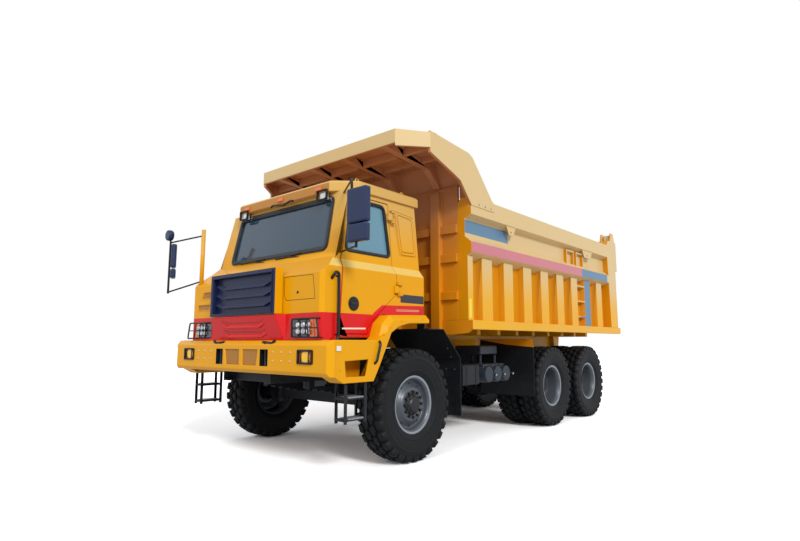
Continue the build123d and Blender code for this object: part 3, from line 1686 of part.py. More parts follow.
# Bed front wall with its posts, box ribs and the hoist's ears
front_wall_top_z = bed_top_z + 0.28 * canopy_rise
front_wall_low_z = 1560.0
front_wall_thickness = 50.0
post_xs = (350.0, 1130.0)
post_width = 160.0
hoist_ear_x = (101.0, 126.0)
hoist_recess = (
    (bed_front - 100, bed_floor_top_z - 400),
    (bed_front - 100, recess_top_z),
    (bed_front, recess_top_z),
    (recess_rear, 1550),
    (recess_rear, bed_floor_top_z - 400),
)
with BuildPart() as bed_front_wall:
    bar(
        (-bed_inner_half + seat_gap, bed_inner_half - seat_gap),
        (bed_front, bed_front + front_wall_thickness),
        (bed_floor_top_z + seat_gap, front_wall_top_z),
    )
    for side in (-1, 1):
        for post_x in post_xs:
            bar(
                (side * post_x - post_width / 2, side * post_x + post_width / 2),
                (bed_front - 70, bed_front),
                (front_wall_low_z, front_wall_top_z - 60),
            )
    for height in (2100.0, 2640.0, 3060.0):
        bar(
            (-bed_inner_half + seat_gap, bed_inner_half - seat_gap),
            (bed_front - 45, bed_front),
            (height - 60, height + 60),
        )
    side_prism(
        (
            (bed_front, recess_top_z + recess_wall),
            (bed_front + front_wall_thickness, recess_top_z + recess_wall),
            (recess_rear + recess_wall, 1560 + recess_wall),
            (recess_rear + recess_wall, front_wall_low_z),
            (bed_front, front_wall_low_z),
        ),
        -recess_half - recess_wall,
        recess_half + recess_wall,
    )
    side_prism(hoist_recess, -recess_half, recess_half, mode=Mode.SUBTRACT)
    for side in (-1, 1):
        side_prism(
            (
                (hoist_y - 60, hoist_eye_z - 60),
                (hoist_y - 60, hoist_eye_z + 60),
                (bed_front + 1, hoist_eye_z + 150),
                (bed_front + 1, hoist_eye_z - 60),
            ),
            side * hoist_ear_x[0],
            side * hoist_ear_x[1],
        )
bed_front_wall.part.label = "bed_front_wall"
export_step(bed_front_wall.part, "parts/bed_front_wall.step")

# Canopy over the cab: a ribbed plate with a deep flange and two cheeks
canopy_plan = (
    (-canopy_front_half, canopy_front),
    (canopy_front_half, canopy_front),
    (canopy_outer_x, canopy_chamfer_end),
    (canopy_outer_x, 1150),
    (-canopy_outer_x, 1150),
    (-canopy_outer_x, canopy_chamfer_end),
)
flange_thickness = 45.0
with BuildPart() as canopy:
    side_prism(
        (
            (canopy_front, canopy_top_z),
            (1000, canopy_top_z - 80),
            (1150, front_wall_top_z + seat_gap),
            (1100, front_wall_top_z + seat_gap),
            (960, canopy_top_z - 130),
            (canopy_front + flange_thickness, canopy_top_z - 50),
            (canopy_front + flange_thickness, canopy_top_z - 190),
            (canopy_front, canopy_top_z - 190),
        ),
        -canopy_outer_x,
        canopy_outer_x,
    )
    for side in (-1, 1):
        for post_x in post_xs:
            side_prism(
                (
                    (canopy_front + 10, canopy_top_z - 40),
                    (canopy_front + 10, canopy_top_z - 150),
                    (780, canopy_top_z - 240),
                    (bed_front, front_wall_top_z + seat_gap),
                    (bed_front, canopy_top_z - 290),
                    (960, canopy_top_z - 120),
                ),
                side * post_x - 55,
                side * post_x + 55,
            )
    for place in (250.0, 650.0):
        bar(
            (-canopy_outer_x, canopy_outer_x),
            (place - 30, place + 30),
            (canopy_top_z - 190, canopy_top_z - 80),
        )
    plan_prism(canopy_plan, bed_top_z, canopy_top_z + 110, mode=Mode.INTERSECT)
    for side in (-1, 1):
        side_prism(
            (
                (canopy_chamfer_end, canopy_top_z),
                (1000, canopy_top_z - 63),
                (1107, canopy_top_z - 103),
                (1623, bed_top_z + 27),
                (cheek_rear, bed_top_z),
                (cheek_rear, cheek_joint_z),
                (1067, cheek_joint_z),
                (796, cheek_joint_z + 0.444 * canopy_rise),
                (613, cheek_joint_z + 0.541 * canopy_rise),
                (canopy_chamfer_end, canopy_top_z - 290),
            ),
            side * cheek_inner_x,
            side * canopy_outer_x,
        )
        # A bar closes the corner between the cheek and the bed's front wall
        low_x, high_x = sorted((side * bed_inner_half, side * (cheek_inner_x + 2)))
        bar(
            (low_x, high_x),
            (bed_front + front_wall_thickness + seat_gap, 1150),
            (bed_top_z + seat_gap, front_wall_top_z + 5),
        )
        plan_prism(
            (
                (side * canopy_front_half, canopy_front),
                (side * canopy_outer_x, canopy_chamfer_end),
                (side * (canopy_outer_x - flange_thickness), canopy_chamfer_end + 20),
                (side * (canopy_front_half - 20), canopy_front + flange_thickness),
            ),
            canopy_top_z - 230,
            canopy_top_z - 20,
        )
canopy.part.label = "canopy"
export_step(canopy.part, "parts/canopy.step")

# Tailgate, hung from pins above the bed's rear posts
gate_front = bed_rear - 50
gate_thickness = 60.0
gate_half = bed_inner_half - moving_gap
gate_outer_half = bed_inner_half + 170
gate_arm_x = (bed_inner_half + 60, gate_outer_half)
gate_low_z = bed_floor_top_z + moving_gap
gate_rib_front = bed_rear + moving_gap
with BuildPart() as tailgate:
    bar((-gate_half, gate_half), (gate_front, gate_rib_front + 10), (gate_low_z, bed_top_z - 70))
    for height in (1850.0, 2500.0, bed_top_z - 130):
        reach = gate_outer_half if height > 3000 else gate_half
        bar((-reach, reach), (gate_rib_front, tail), (height - 60, height + 60))
    for place in (-1100.0, -370.0, 370.0, 1100.0):
        bar((place - 60, place + 60), (gate_rib_front, tail), (gate_low_z, bed_top_z - 70))
    for side in (-1, 1):
        side_prism(
            (
                (gate_hinge - 45, gate_hinge_z + 40),
                (gate_hinge + 60, gate_hinge_z + 55),
                (tail - 10, bed_top_z + 90),
                (tail - 10, bed_top_z - 110),
                (gate_rib_front, bed_top_z - 110),
                (gate_rib_front, gate_hinge_z - 75),
                (gate_hinge - 45, gate_hinge_z - 75),
            ),
            side * gate_arm_x[0],
            side * gate_arm_x[1],
        )
    cross_cylinder(
        gate_pin_radius + seat_gap,
        -bed_outer_x,
        bed_outer_x,
        gate_hinge,
        gate_hinge_z,
        mode=Mode.SUBTRACT,
    )
tailgate.part.label = "tailgate"
export_step(tailgate.part, "parts/tailgate.step")

# Hoist: a barrel on trunnions and three stages that slide out of it
hoist_bottom_z = 880.0
stage_bottom_step = 15.0
stage_top_z = (2540.0, 2575.0, 2610.0, 2645.0)
for index, radius in enumerate(hoist_radii):
    bottom_z = hoist_bottom_z + index * stage_bottom_step
    with BuildPart() as stage:
        upright_cylinder(radius, 0, hoist_y, bottom_z, stage_top_z[index])
        if index + 1 < len(hoist_radii):
            upright_cylinder(
                hoist_radii[index + 1] + hoist_clearance,
                0,
                hoist_y,
                bottom_z + stage_bottom_step - seat_gap,
                stage_top_z[index],
                mode=Mode.SUBTRACT,
            )
        else:
            cross_cylinder(58, -96, 96, hoist_y, hoist_eye_z)
            bar((-70, 70), (hoist_y - 50, hoist_y + 50), (stage_top_z[index] - 5, hoist_eye_z))
        if index == 0:
            for side in (-1, 1):
                low_x, high_x = sorted((side * (radius - 8), side * (trunnion_beam_x + 55)))
                cross_cylinder(trunnion_radius, low_x, high_x, hoist_y, hoist_pivot_z)
    label = "hoist_barrel" if index == 0 else f"hoist_stage_{index}"
    stage.part.label = label
    export_step(stage.part, f"parts/{label}.step")
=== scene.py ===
"""The looks of the mining dump truck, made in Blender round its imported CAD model.

Metres, +Z up, in the frame of the CAD: the truck faces -Y and its left side is +X.
Places along the truck are written from the front axle, through the function along().
"""

import json
from math import copysign, cos, pi, radians, sin

import bmesh
import bpy
from mathutils import Matrix, Vector


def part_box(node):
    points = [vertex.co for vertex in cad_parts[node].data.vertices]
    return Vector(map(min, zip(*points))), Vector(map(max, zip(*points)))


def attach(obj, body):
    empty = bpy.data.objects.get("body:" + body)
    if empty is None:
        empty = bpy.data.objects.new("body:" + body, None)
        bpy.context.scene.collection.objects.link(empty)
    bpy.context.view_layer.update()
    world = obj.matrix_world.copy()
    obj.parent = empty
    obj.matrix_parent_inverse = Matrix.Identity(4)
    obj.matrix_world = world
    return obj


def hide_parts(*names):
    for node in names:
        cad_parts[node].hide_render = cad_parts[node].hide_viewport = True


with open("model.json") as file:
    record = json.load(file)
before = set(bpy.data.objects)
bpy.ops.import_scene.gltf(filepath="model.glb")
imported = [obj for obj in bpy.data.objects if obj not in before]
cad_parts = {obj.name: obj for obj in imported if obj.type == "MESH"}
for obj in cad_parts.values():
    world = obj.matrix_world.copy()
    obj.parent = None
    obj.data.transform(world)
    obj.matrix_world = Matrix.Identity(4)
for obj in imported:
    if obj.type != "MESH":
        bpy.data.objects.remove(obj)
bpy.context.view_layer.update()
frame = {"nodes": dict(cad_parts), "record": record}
nodes = frame["nodes"]
body_of_node = {
    node: body
    for body, members in frame["record"]["behaviour"]["bodies"].items()
    for node in members
}
SIDES = ((1, "left"), (-1, "right"))


def node_middle(node):
    low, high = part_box(node)
    return (low + high) / 2


FRONT_AXLE = node_middle("tyre_front_left").y
AXLE_HEIGHT = node_middle("tyre_front_left").z


def along(y):
    """A place along the truck, measured backwards from the front axle."""
    return FRONT_AXLE + y


def at(x, y, z):
    return Vector((x, along(y), z))


def add_object(name, data):
    """Puts a new object in the scene."""
    added = bpy.data.objects.new(name, data)
    bpy.context.scene.collection.objects.link(added)
    return added


# Camera: fitted to the photograph through the tyres, the bed and the cab
camera_azimuth = radians(40.88)
camera_pitch = radians(7.52)
camera_data = bpy.data.cameras.new("camera")
camera_data.lens = 24.3
camera_data.sensor_width = 36.0
camera_data.clip_end = 400.0
camera = add_object("camera", camera_data)
camera.location = at(5.854, -5.25, 1.45)
camera.rotation_euler = (pi / 2 + camera_pitch, 0.0, camera_azimuth)
bpy.context.scene.camera = camera
bpy.context.scene.view_settings.view_transform = "Standard"


# Materials


def srgb(red, green, blue):
    """A colour given as the eight-bit values a picture would show, as Blender's linear one."""
    channels = []
    for value in (red, green, blue):
        share = value / 255
        channels.append(share / 12.92 if share <= 0.04045 else ((share + 0.055) / 1.055) ** 2.4)
    return (*channels, 1.0)


def shade(colour, factor):
    return tuple(min(1.0, c * factor) for c in colour[:3]) + (1.0,)


def add_node(tree, kind, inputs, **properties):
    """Adds a shader node. An input is linked where a socket is given, or else set."""
    node = tree.nodes.new(kind)
    for name, value in properties.items():
        setattr(node, name, value)
    for name, value in inputs.items():
        if isinstance(value, bpy.types.NodeSocket):
            tree.links.new(value, node.inputs[name])
        else:
            node.inputs[name].default_value = value
    return node


def surface(name, colour, roughness, metallic=0.0, coat=0.0, specular=0.5, grain=3.0,
            colour_change=0.1, rough_change=0.08, bump=0.0, bump_scale=60.0, dust=None,
            height_painted_light=None):
    """A finish with slow changes of tone, uneven gloss and fine relief.

    Colours are given as a picture's eight-bit values.
    dust is (colour, strength): a film that gathers in patches.
    The last argument, a colour with its lowest z, highest z and strength, is blended in more with
    height: a painted highlight where it is pale, painted shade where it is dark.
    """
    material = bpy.data.materials.new(name)
    material.use_nodes = True
    tree = material.node_tree
    shader = tree.nodes["Principled BSDF"]
    shader.inputs["Metallic"].default_value = metallic
    shader.inputs["Coat Weight"].default_value = coat
    shader.inputs["Coat Roughness"].default_value = 0.08
    shader.inputs["Specular IOR Level"].default_value = specular
    place = add_node(tree, "ShaderNodeTexCoord", {}).outputs["Object"]

    def noise(scale, detail):
        return add_node(tree, "ShaderNodeTexNoise", {
            "Vector": place, "Scale": scale, "Detail": detail}).outputs["Fac"]

    def mapped(value, kind="LINEAR", **limits):
        inputs = {key.replace("_", " "): limit for key, limit in limits.items()}
        return add_node(tree, "ShaderNodeMapRange", {"Value": value, **inputs},
                        interpolation_type=kind).outputs["Result"]

    def blend(share, first, second):
        return add_node(tree, "ShaderNodeMix", {"Factor": share, "A": first, "B": second},
                        data_type="RGBA").outputs["Result"]

    colour = srgb(*colour)
    broad = noise(grain, 5.0)
    final = blend(broad, shade(colour, 1 - colour_change), shade(colour, 1 + colour_change))
    if dust:
        spread = mapped(noise(grain * 4.3, 8.0), From_Min=0.42, From_Max=0.75, To_Max=dust[1])
        final = blend(spread, final, srgb(*dust[0]))
    # Painted light: a colour that grows with height stands in for light and shade that change with
    # height
    if height_painted_light:
        painted_light_colour, low, high, strength = height_painted_light
        parts = add_node(tree, "ShaderNodeSeparateXYZ", {"Vector": place})
        rise = mapped(parts.outputs["Z"], "SMOOTHSTEP", From_Min=low, From_Max=high,
                      To_Max=strength)
        final = blend(rise, final, srgb(*painted_light_colour))
    tree.links.new(final, shader.inputs["Base Color"])
    gloss = mapped(broad, To_Min=max(0.02, roughness - rough_change),
                   To_Max=min(1.0, roughness + rough_change))
    tree.links.new(gloss, shader.inputs["Roughness"])
    if bump:
        relief = add_node(tree, "ShaderNodeBump", {
            "Strength": bump, "Distance": 0.002, "Height": noise(bump_scale, 3.0)})
        tree.links.new(relief.outputs["Normal"], shader.inputs["Normal"])
    return material


def glass_material(name, colour, roughness, transmission, specular=0.5):
    material = surface(name, colour, roughness, specular=specular, colour_change=0.04, coat=0.2)
    shader = material.node_tree.nodes["Principled BSDF"]
    shader.inputs["Transmission Weight"].default_value = transmission
    shader.inputs["IOR"].default_value = 1.45
    return material


# Yellow paint; the paler tone it takes towards the top of the cab is a painted highlight
yellow = surface("yellow_paint", (229, 160, 0), 0.36, coat=0.06, specular=0.2, grain=1.2,
                 colour_change=0.04, bump=0.05, bump_scale=240.0,
                 height_painted_light=((206, 176, 112), 2.35, 3.5, 0.7))
# Bed paint with real dust in patches; the cream tone it takes towards the rail is a painted
# highlight
bed_yellow = surface("bed_paint", (232, 170, 0), 0.4, coat=0.1, specular=0.25, grain=0.9,
                     colour_change=0.06, bump=0.08, bump_scale=120.0,
                     dust=((206, 176, 120), 0.14),
                     height_painted_light=((214, 188, 138), 1.95, 2.75, 0.9))
# A darker orange copy of the bed paint: painted shade for recesses, inner faces and flanks turned
# forwards
recess_painted_shade = surface("bed_recess_painted_shade", (214, 140, 4), 0.45, coat=0.1, specular=0.2,
                        grain=0.9, colour_change=0.06, bump=0.08, bump_scale=120.0)
# A pale copy of the yellow: painted highlight on the upward-sloping shoulder above the cab's sides
cab_shoulder_highlight = surface("cab_shoulder_painted_highlight", (240, 204, 112), 0.3, coat=0.3, grain=1.2,
                    colour_change=0.04, bump=0.05)
# Painted shade on the visor's lower front faces
visor_painted_shade = surface("visor_front_painted_shade", (186, 122, 34), 0.42, coat=0.1, grain=1.2,
                      colour_change=0.05, bump=0.05)
# Painted shade for the canopy's underside and inner faces, with real dust in patches
canopy_painted_shade = surface("canopy_underside_painted_shade", (196, 132, 90), 0.5, coat=0.05, specular=0.2, grain=1.4,
                      colour_change=0.1, bump=0.1, dust=((160, 120, 84), 0.2))
# Painted shade for the front wall under the canopy, the bed floor's underside and front, and the
# plate over the sheet; browner towards the top
wall_painted_shade = surface("front_wall_painted_shade", (216, 136, 16), 0.42, coat=0.1, specular=0.2, grain=1.1,
                      colour_change=0.08, bump=0.08, height_painted_light=((176, 116, 76), 2.2, 3.8, 0.85))
red = surface("red_paint", (214, 8, 14), 0.32, coat=0.12, specular=0.3, grain=1.2,
              colour_change=0.05)
pink = surface("bed_red_stripe", (200, 116, 126), 0.4, coat=0.1, grain=0.9, colour_change=0.05)
blue = surface("bed_blue_stripe", (84, 124, 156), 0.4, coat=0.1, grain=0.9,
               colour_change=0.05)
navy = surface("navy_paint", (24, 34, 70), 0.4, coat=0.1, specular=0.25, colour_change=0.08)
black = surface("black_steel", (24, 26, 30), 0.4, coat=0.05, specular=0.25, colour_change=0.2,
                bump=0.1, dust=((70, 70, 70), 0.1))
mesh_brown = surface("mesh_brown", (168, 118, 52), 0.6, colour_change=0.25, bump=0.2)
chassis = surface("chassis_black", (34, 36, 41), 0.5, specular=0.25, colour_change=0.25, bump=0.2,
                  dust=((56, 58, 62), 0.2))
engine_grey = surface("engine_grey", (70, 74, 78), 0.5, metallic=0.3, bump=0.3)
tank_grey = surface("tank_grey", (48, 56, 66), 0.36, metallic=0.2, coat=0.1, specular=0.3,
                    bump=0.08)
mirror_shell = surface("mirror_shell", (26, 42, 78), 0.32, coat=0.1, specular=0.3, bump=0.1)
mirror_face = surface("mirror_face", (200, 208, 214), 0.05, metallic=1.0, colour_change=0.03)
rubber = surface("seal_rubber", (18, 20, 26), 0.42, bump=0.15)
tyre_rubber = surface("tyre_rubber", (19, 21, 24), 0.6, specular=0.2, grain=6.0,
                      colour_change=0.2, bump=0.5, bump_scale=180.0,
                      dust=((42, 42, 42), 0.2))
rim_grey = surface("rim_grey", (84, 90, 98), 0.4, metallic=0.35, coat=0.1,
                   colour_change=0.14, dust=((66, 64, 62), 0.25))
# A paler copy of the rim grey: a painted highlight on the rims' outer lip
rim_lip_highlight = surface("rim_lip_highlight", (142, 150, 160), 0.36, metallic=0.4, coat=0.1,
                   colour_change=0.1)
hub_black = surface("hub_black", (17, 19, 22), 0.4, colour_change=0.2, bump=0.2)
steel = surface("bright_steel", (196, 200, 206), 0.2, metallic=1.0, colour_change=0.05)
chrome = surface("chrome", (215, 218, 222), 0.1, metallic=1.0, colour_change=0.03)
fabric = surface("seat_fabric", (42, 44, 50), 0.9, grain=30.0, colour_change=0.2,
                 bump=0.6, bump_scale=900.0)
plastic = surface("dash_plastic", (40, 42, 46), 0.6, bump=0.5, bump_scale=700.0)
amber = surface("amber_lens", (236, 104, 14), 0.12, coat=0.8, colour_change=0.1)
tail_red = surface("tail_lens", (190, 12, 14), 0.14, coat=0.8, colour_change=0.08)
white_lens = surface("white_lens", (214, 220, 228), 0.08, coat=0.8, colour_change=0.05,
                     metallic=0.35)
white_paint = surface("white_line", (232, 226, 214), 0.35, coat=0.4, colour_change=0.03)
pale_line = surface("pale_line", (206, 190, 150), 0.4, coat=0.3, colour_change=0.05)
plate_dark = surface("marker_plate", (44, 48, 60), 0.5, colour_change=0.2, bump=0.2)
sticker_yellow = surface("blank_sticker", (240, 212, 40), 0.4, coat=0.4, colour_change=0.03)
window_glass = glass_material("window_glass", (128, 184, 206), 0.03, 0.5, specular=0.5)
lamp_dark = surface("lamp_dark", (38, 42, 52), 0.14, coat=0.6, colour_change=0.1)
fog_amber = surface("fog_lens", (250, 190, 30), 0.12, coat=0.8, colour_change=0.06)
tread_grey = surface("tread_plate", (150, 154, 160), 0.45, metallic=0.5, bump=0.4,
                     bump_scale=90.0)
windshield_glass = glass_material("windshield_glass", (52, 84, 108), 0.03, 0.4, specular=0.6)

# Which finish each node of the CAD takes as it stands
finishes = {
    node: material
    for material, names in (
        (chassis, "frame_rails front_axle_beam rear_axle_housings leaf_springs driveline "
                  "fuel_tank battery_box knuckle_left knuckle_right entry_steps hoist_barrel"),
        (black, "mudguards grab_pipes mirror_arms"),
        (yellow, "bumper nose cab_shell roof_visor fenders grille_frame door_left door_right"),
        (bed_yellow, "bed_floor bed_sides bed_front_wall canopy tailgate"),
        (chrome, "hoist_stage_1 hoist_stage_2 hoist_stage_3"),
        (window_glass, "door_glass_left door_glass_right"), (windshield_glass, "cab_glass"),
        (engine_grey, "engine_block"), (tank_grey, "air_tanks"), (mesh_brown, "bumper_meshes"),
        (white_lens, "clear_lamps"), (amber, "amber_lamps"), (mirror_shell, "mirror_heads"),
        (navy, "grille_slats"), (fabric, "cab_seats"), (plastic, "dashboard"),
    )
    for node in names.split()
}
for node, material in finishes.items():
    if node in nodes:
        nodes[node].data.materials.clear()
        nodes[node].data.materials.append(material)


# Helpers that make pieces


def add_piece(name, mesh, body, material=None, smooth=False):
    """Puts a mesh in the scene as a piece that rides on a body."""
    piece = add_object(name, mesh)
    if material:
        mesh.materials.clear()
        mesh.materials.append(material)
    if smooth:
        mesh.shade_smooth()
    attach(piece, body)
    return piece


def round_edges(piece, width, angle=25.0, segments=2):
    """Rounds the sharp edges of a piece."""
    bevel = piece.modifiers.new("round_edges", "BEVEL")
    bevel.width = width
    bevel.segments = segments
    bevel.limit_method = "ANGLE"
    bevel.angle_limit = radians(angle)
    bevel.use_clamp_overlap = False
    bevel.harden_normals = False
    return piece


def mesh_of(bm, name):
    mesh = bpy.data.meshes.new(name)
    bm.to_mesh(mesh)
    bm.free()
    return mesh


def add_box(bm, low, high):
    """Adds a block to a bmesh and returns its vertices."""
    verts = [
        bm.verts.new((x, y, z)) for x in (low[0], high[0]) for y in (low[1], high[1])
        for z in (low[2], high[2])
    ]
    for corners in ((0, 1, 3, 2), (4, 6, 7, 5), (0, 4, 5, 1), (2, 3, 7, 6), (0, 2, 6, 4),
                    (1, 5, 7, 3)):
        bm.faces.new([verts[i] for i in corners])
    return verts


def side_blocks(name, side, blocks, material, rounding=0.003):
    """Rounded blocks on one side of the truck, each as its spans outwards, along and up."""
    bm = bmesh.new()
    for (near, far), (front, back), (low_z, high_z) in blocks:
        low_x, high_x = sorted((side * near, side * far))
        add_box(bm, at(low_x, front, low_z), at(high_x, back, high_z))
    round_edges(add_piece(name, mesh_of(bm, name), "chassis", material), rounding)


def ring_mesh(bm, profile, segments, middle, axis=Vector((1, 0, 0)), close=False):
    """Turns a profile of (place on the axis, radius) round an axis through middle."""
    axis = axis.normalized()
    first = axis.orthogonal().normalized()
    second = axis.cross(first)
    rings = []
    for place, radius in profile:
        if radius < 1e-6:
            rings.append([bm.verts.new(middle + axis * place)])
            continue
        rings.append([
            bm.verts.new(middle + axis * place + radius * (cos(a) * first + sin(a) * second))
            for a in (2 * pi * i / segments for i in range(segments))
        ])
    pairs = list(zip(rings, rings[1:]))
    if close:
        pairs.append((rings[-1], rings[0]))
    for one, two in pairs:
        for i in range(segments):
            j = (i + 1) % segments
            corners = [one[i % len(one)], one[j % len(one)], two[j % len(two)], two[i % len(two)]]
            unique = list(dict.fromkeys(corners))
            if len(unique) > 2:
                bm.faces.new(unique)
    return rings


def dressed(node, rounding=0.005, cuts=(), zones=None, materials=None, angle=25.0):
    """A copy of a CAD node with rounded edges, cut along planes and painted zone by zone.

    zones takes a face's middle and normal and returns the index of its material.
    """
    bm = bmesh.new()
    bm.from_mesh(nodes[node].data)
    bmesh.ops.remove_doubles(bm, verts=bm.verts, dist=2e-5)
    bmesh.ops.dissolve_limit(bm, angle_limit=radians(0.6), verts=bm.verts, edges=bm.edges)
    for point, normal in cuts:
        bmesh.ops.bisect_plane(
            bm, geom=bm.verts[:] + bm.edges[:] + bm.faces[:], plane_co=point, plane_no=normal,
            dist=1e-5,
        )
    if zones:
        for face in bm.faces:
            face.material_index = zones(face.calc_center_median(), face.normal)
    mesh = mesh_of(bm, node + "_dressed")
    piece = add_piece(node + "_dressed", mesh, body_of_node[node])
    for material in materials or [finishes[node]]:
        mesh.materials.append(material)
    round_edges(piece, rounding, angle)
    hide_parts(node)
    return piece


# Painted bodywork

belt_top = 1.772
belt_step = ((-0.576, 1.785), (-0.417, 1.892))
belt_rear_slope = (1.919 - 1.892) / (0.37 + 0.417)


def belt_height(y):
    """How high the red belt reaches on the cab's side, y from the front axle."""
    if y < belt_step[0][0]:
        return belt_top
    if y < belt_step[1][0]:
        share = (y - belt_step[0][0]) / (belt_step[1][0] - belt_step[0][0])
        return belt_step[0][1] + share * (belt_step[1][1] - belt_step[0][1])
    return belt_step[1][1] + belt_rear_slope * (y - belt_step[1][0])


def line_plane(start, end):
    """A plane across the truck through two points (y, z)."""
    point = at(0, start[0], start[1])
    run = Vector((0, end[0] - start[0], end[1] - start[1]))
    return point, run.cross(Vector((1, 0, 0)))


belt_cuts = (
    line_plane((-1.4, belt_top), (0.0, belt_top)),
    line_plane(*belt_step),
    line_plane(belt_step[1], (0.37, 1.919)),
    (at(0, belt_step[0][0], 0), Vector((0, 1, 0))),
    (at(0, belt_step[1][0], 0), Vector((0, 1, 0))),
)


def belt_zone(middle, normal):
    outside = abs(middle.x) > 1.335 or middle.y < along(-1.12)
    if outside and middle.z < belt_height(middle.y - FRONT_AXLE):
        return 1
    # Upward-facing shoulder faces take the painted highlight
    if abs(middle.x) > 1.29 and 2.28 < middle.z < 2.43 and 0.4 < normal.z < 0.95:
        return 2
    return 0


def bumper_zone(middle, normal):
    y, z, x = middle.y - FRONT_AXLE, middle.z, abs(middle.x)
    return 1 if -1.47 < y < -1.38 and 0.39 < x < 0.57 and 1.16 < z < 1.37 else 0


def grille_zone(middle, normal):
    return 1 if abs(middle.x) < 0.645 and 1.80 < middle.z < 2.265 else 0


def visor_zone(middle, normal):
    # Front faces below the visor's top take the painted shade
    return 1 if normal.y < -0.3 and middle.z < 3.36 and abs(middle.x) < 1.0 else 0


for node in ("cab_shell", "door_left", "door_right", "nose"):
    dressed(node, 0.006, belt_cuts, belt_zone, (yellow, red, cab_shoulder_highlight))
dressed("bumper", 0.008, zones=bumper_zone, materials=(yellow, black))
dressed("roof_visor", 0.008, zones=visor_zone, materials=(yellow, visor_painted_shade))
dressed("grille_frame", 0.006, zones=grille_zone, materials=(yellow, navy))
dressed("fenders", 0.008)

# The bed: stripes on its left and right sides, and painted shade on its recesses, inner faces and
# faces turned forwards
bed_cuts = tuple(
    (at(0, y, 0), Vector((0, 1, 0))) for y in (1.08, 1.42, 2.26, 4.9, 6.23)
) + tuple((Vector((0, 0, z)), Vector((0, 0, 1))) for z in (2.67, 2.693, 2.852, 2.99, 3.18))


def bed_zone(middle, normal):
    y, z, x = middle.y - FRONT_AXLE, middle.z, abs(middle.x)
    # Zone 3 is painted shade: inner faces, flanks turned forwards and the low recess panels
    if x < 1.52 or normal.y < -0.5 or (x < 1.60 and z < 2.69):
        return 3
    if abs(normal.x) < 0.5:
        return 0
    if 2.69 < z < 2.855 and x > 1.70 and y < 6.23:
        return 1 if y < 4.9 else 2
    if 2.99 < z < 3.18 and y < 2.26 and x < 1.66:
        return 2
    if 5.10 < y < 5.46 and x > 1.64 and z < 2.68:
        return 2
    return 0


dressed("bed_sides", 0.006, bed_cuts, bed_zone, (bed_yellow, pink, blue, recess_painted_shade))


def canopy_zone(middle, normal):
    outer_side = abs(middle.x) > 1.42 and normal.x * middle.x > 0.25
    front = middle.y < along(0.1) and normal.y < -0.3
    # Faces that are not outer sides, front or top take the painted shade
    return 0 if outer_side or front or normal.z > 0.3 else 1


def floor_zone(middle, normal):
    # The floor's underside and front take the painted shade
    return 1 if normal.z < -0.3 or middle.y < along(1.3) else 0


dressed("canopy", 0.006, zones=canopy_zone, materials=(bed_yellow, canopy_painted_shade))
dressed("bed_front_wall", 0.006, materials=(wall_painted_shade,))
dressed("bed_floor", 0.006, zones=floor_zone, materials=(bed_yellow, wall_painted_shade))
dressed("tailgate", 0.006)
for node, rounding in (
    ("mirror_heads", 0.022), ("air_tanks", 0.018), ("battery_box", 0.008), ("fuel_tank", 0.03),
    ("entry_steps", 0.004), ("mudguards", 0.005), ("mirror_arms", 0.003), ("grille_slats", 0.004),
    ("frame_rails", 0.005), ("front_axle_beam", 0.01),
    ("amber_lamps", 0.006), ("bumper_meshes", 0.002), ("hoist_barrel", 0.004),
):
    dressed(node, rounding)


def lamp_zone(middle, normal):
    return 1 if middle.z < 2.0 else 0


dressed("clear_lamps", 0.006, zones=lamp_zone, materials=(white_lens, lamp_dark))

# Wheels

TYRE_RADIUS = AXLE_HEIGHT
PITCHES = 29
tyre_profile = (
    (-0.142, 0.357), (-0.150, 0.372), (-0.166, 0.400), (-0.170, 0.412), (-0.1735, 0.414),
    (-0.1745, 0.422), (-0.172, 0.425), (-0.176, 0.440), (-0.184, 0.490),
    (-0.1875, 0.535), (-0.1878, 0.548), (-0.1905, 0.551), (-0.1905, 0.559), (-0.187, 0.563),
    (-0.186, 0.580), (-0.182, 0.607), (-0.174, 0.632), (-0.150, 0.647),
    (-0.100, 0.654), (0.0, 0.657),
)
tyre_profile += tuple((-place, radius) for place, radius in reversed(tyre_profile[:-1]))
tyre_profile += ((0.130, 0.345), (0.125, 0.325), (-0.125, 0.325), (-0.130, 0.345))


def tread_point(across, around, radius):
    """A point of the tread: across the tyre, along its circumference, and out from its axis."""
    angle = around / TYRE_RADIUS
    return Vector((across, radius * cos(angle), radius * sin(angle)))


def crown(across):
    """The radius of the tread's top at a place across it."""
    edge = max(0.0, abs(across) - 0.09)
    return TYRE_RADIUS - 1.8 * edge**2


def root_radius(across, depth):
    """How far down a block reaches: past the casing's shoulder near the edge."""
    return crown(across) - depth if abs(across) < 0.16 else 0.606


def add_tread_block(bm, outline, depth=0.030, top_inset=0.004):
    """One tread block from its outline of (across, around)."""
    middle = Vector((sum(p[0] for p in outline), sum(p[1] for p in outline))) / len(outline)
    root, shoulder, top = [], [], []
    for across, around in outline:
        offset = Vector((across, around)) - middle
        inner = middle + offset * (1 - top_inset / offset.length)
        root.append(bm.verts.new(tread_point(across, around, root_radius(across, depth))))
        shoulder.append(bm.verts.new(tread_point(across, around, crown(across) - 0.004)))
        top.append(bm.verts.new(tread_point(inner.x, inner.y, crown(inner.x))))
    count = len(outline)
    for i in range(count):
        j = (i + 1) % count
        bm.faces.new((root[i], root[j], shoulder[j], shoulder[i]))
        bm.faces.new((shoulder[i], shoulder[j], top[j], top[i]))
    bm.faces.new(top)


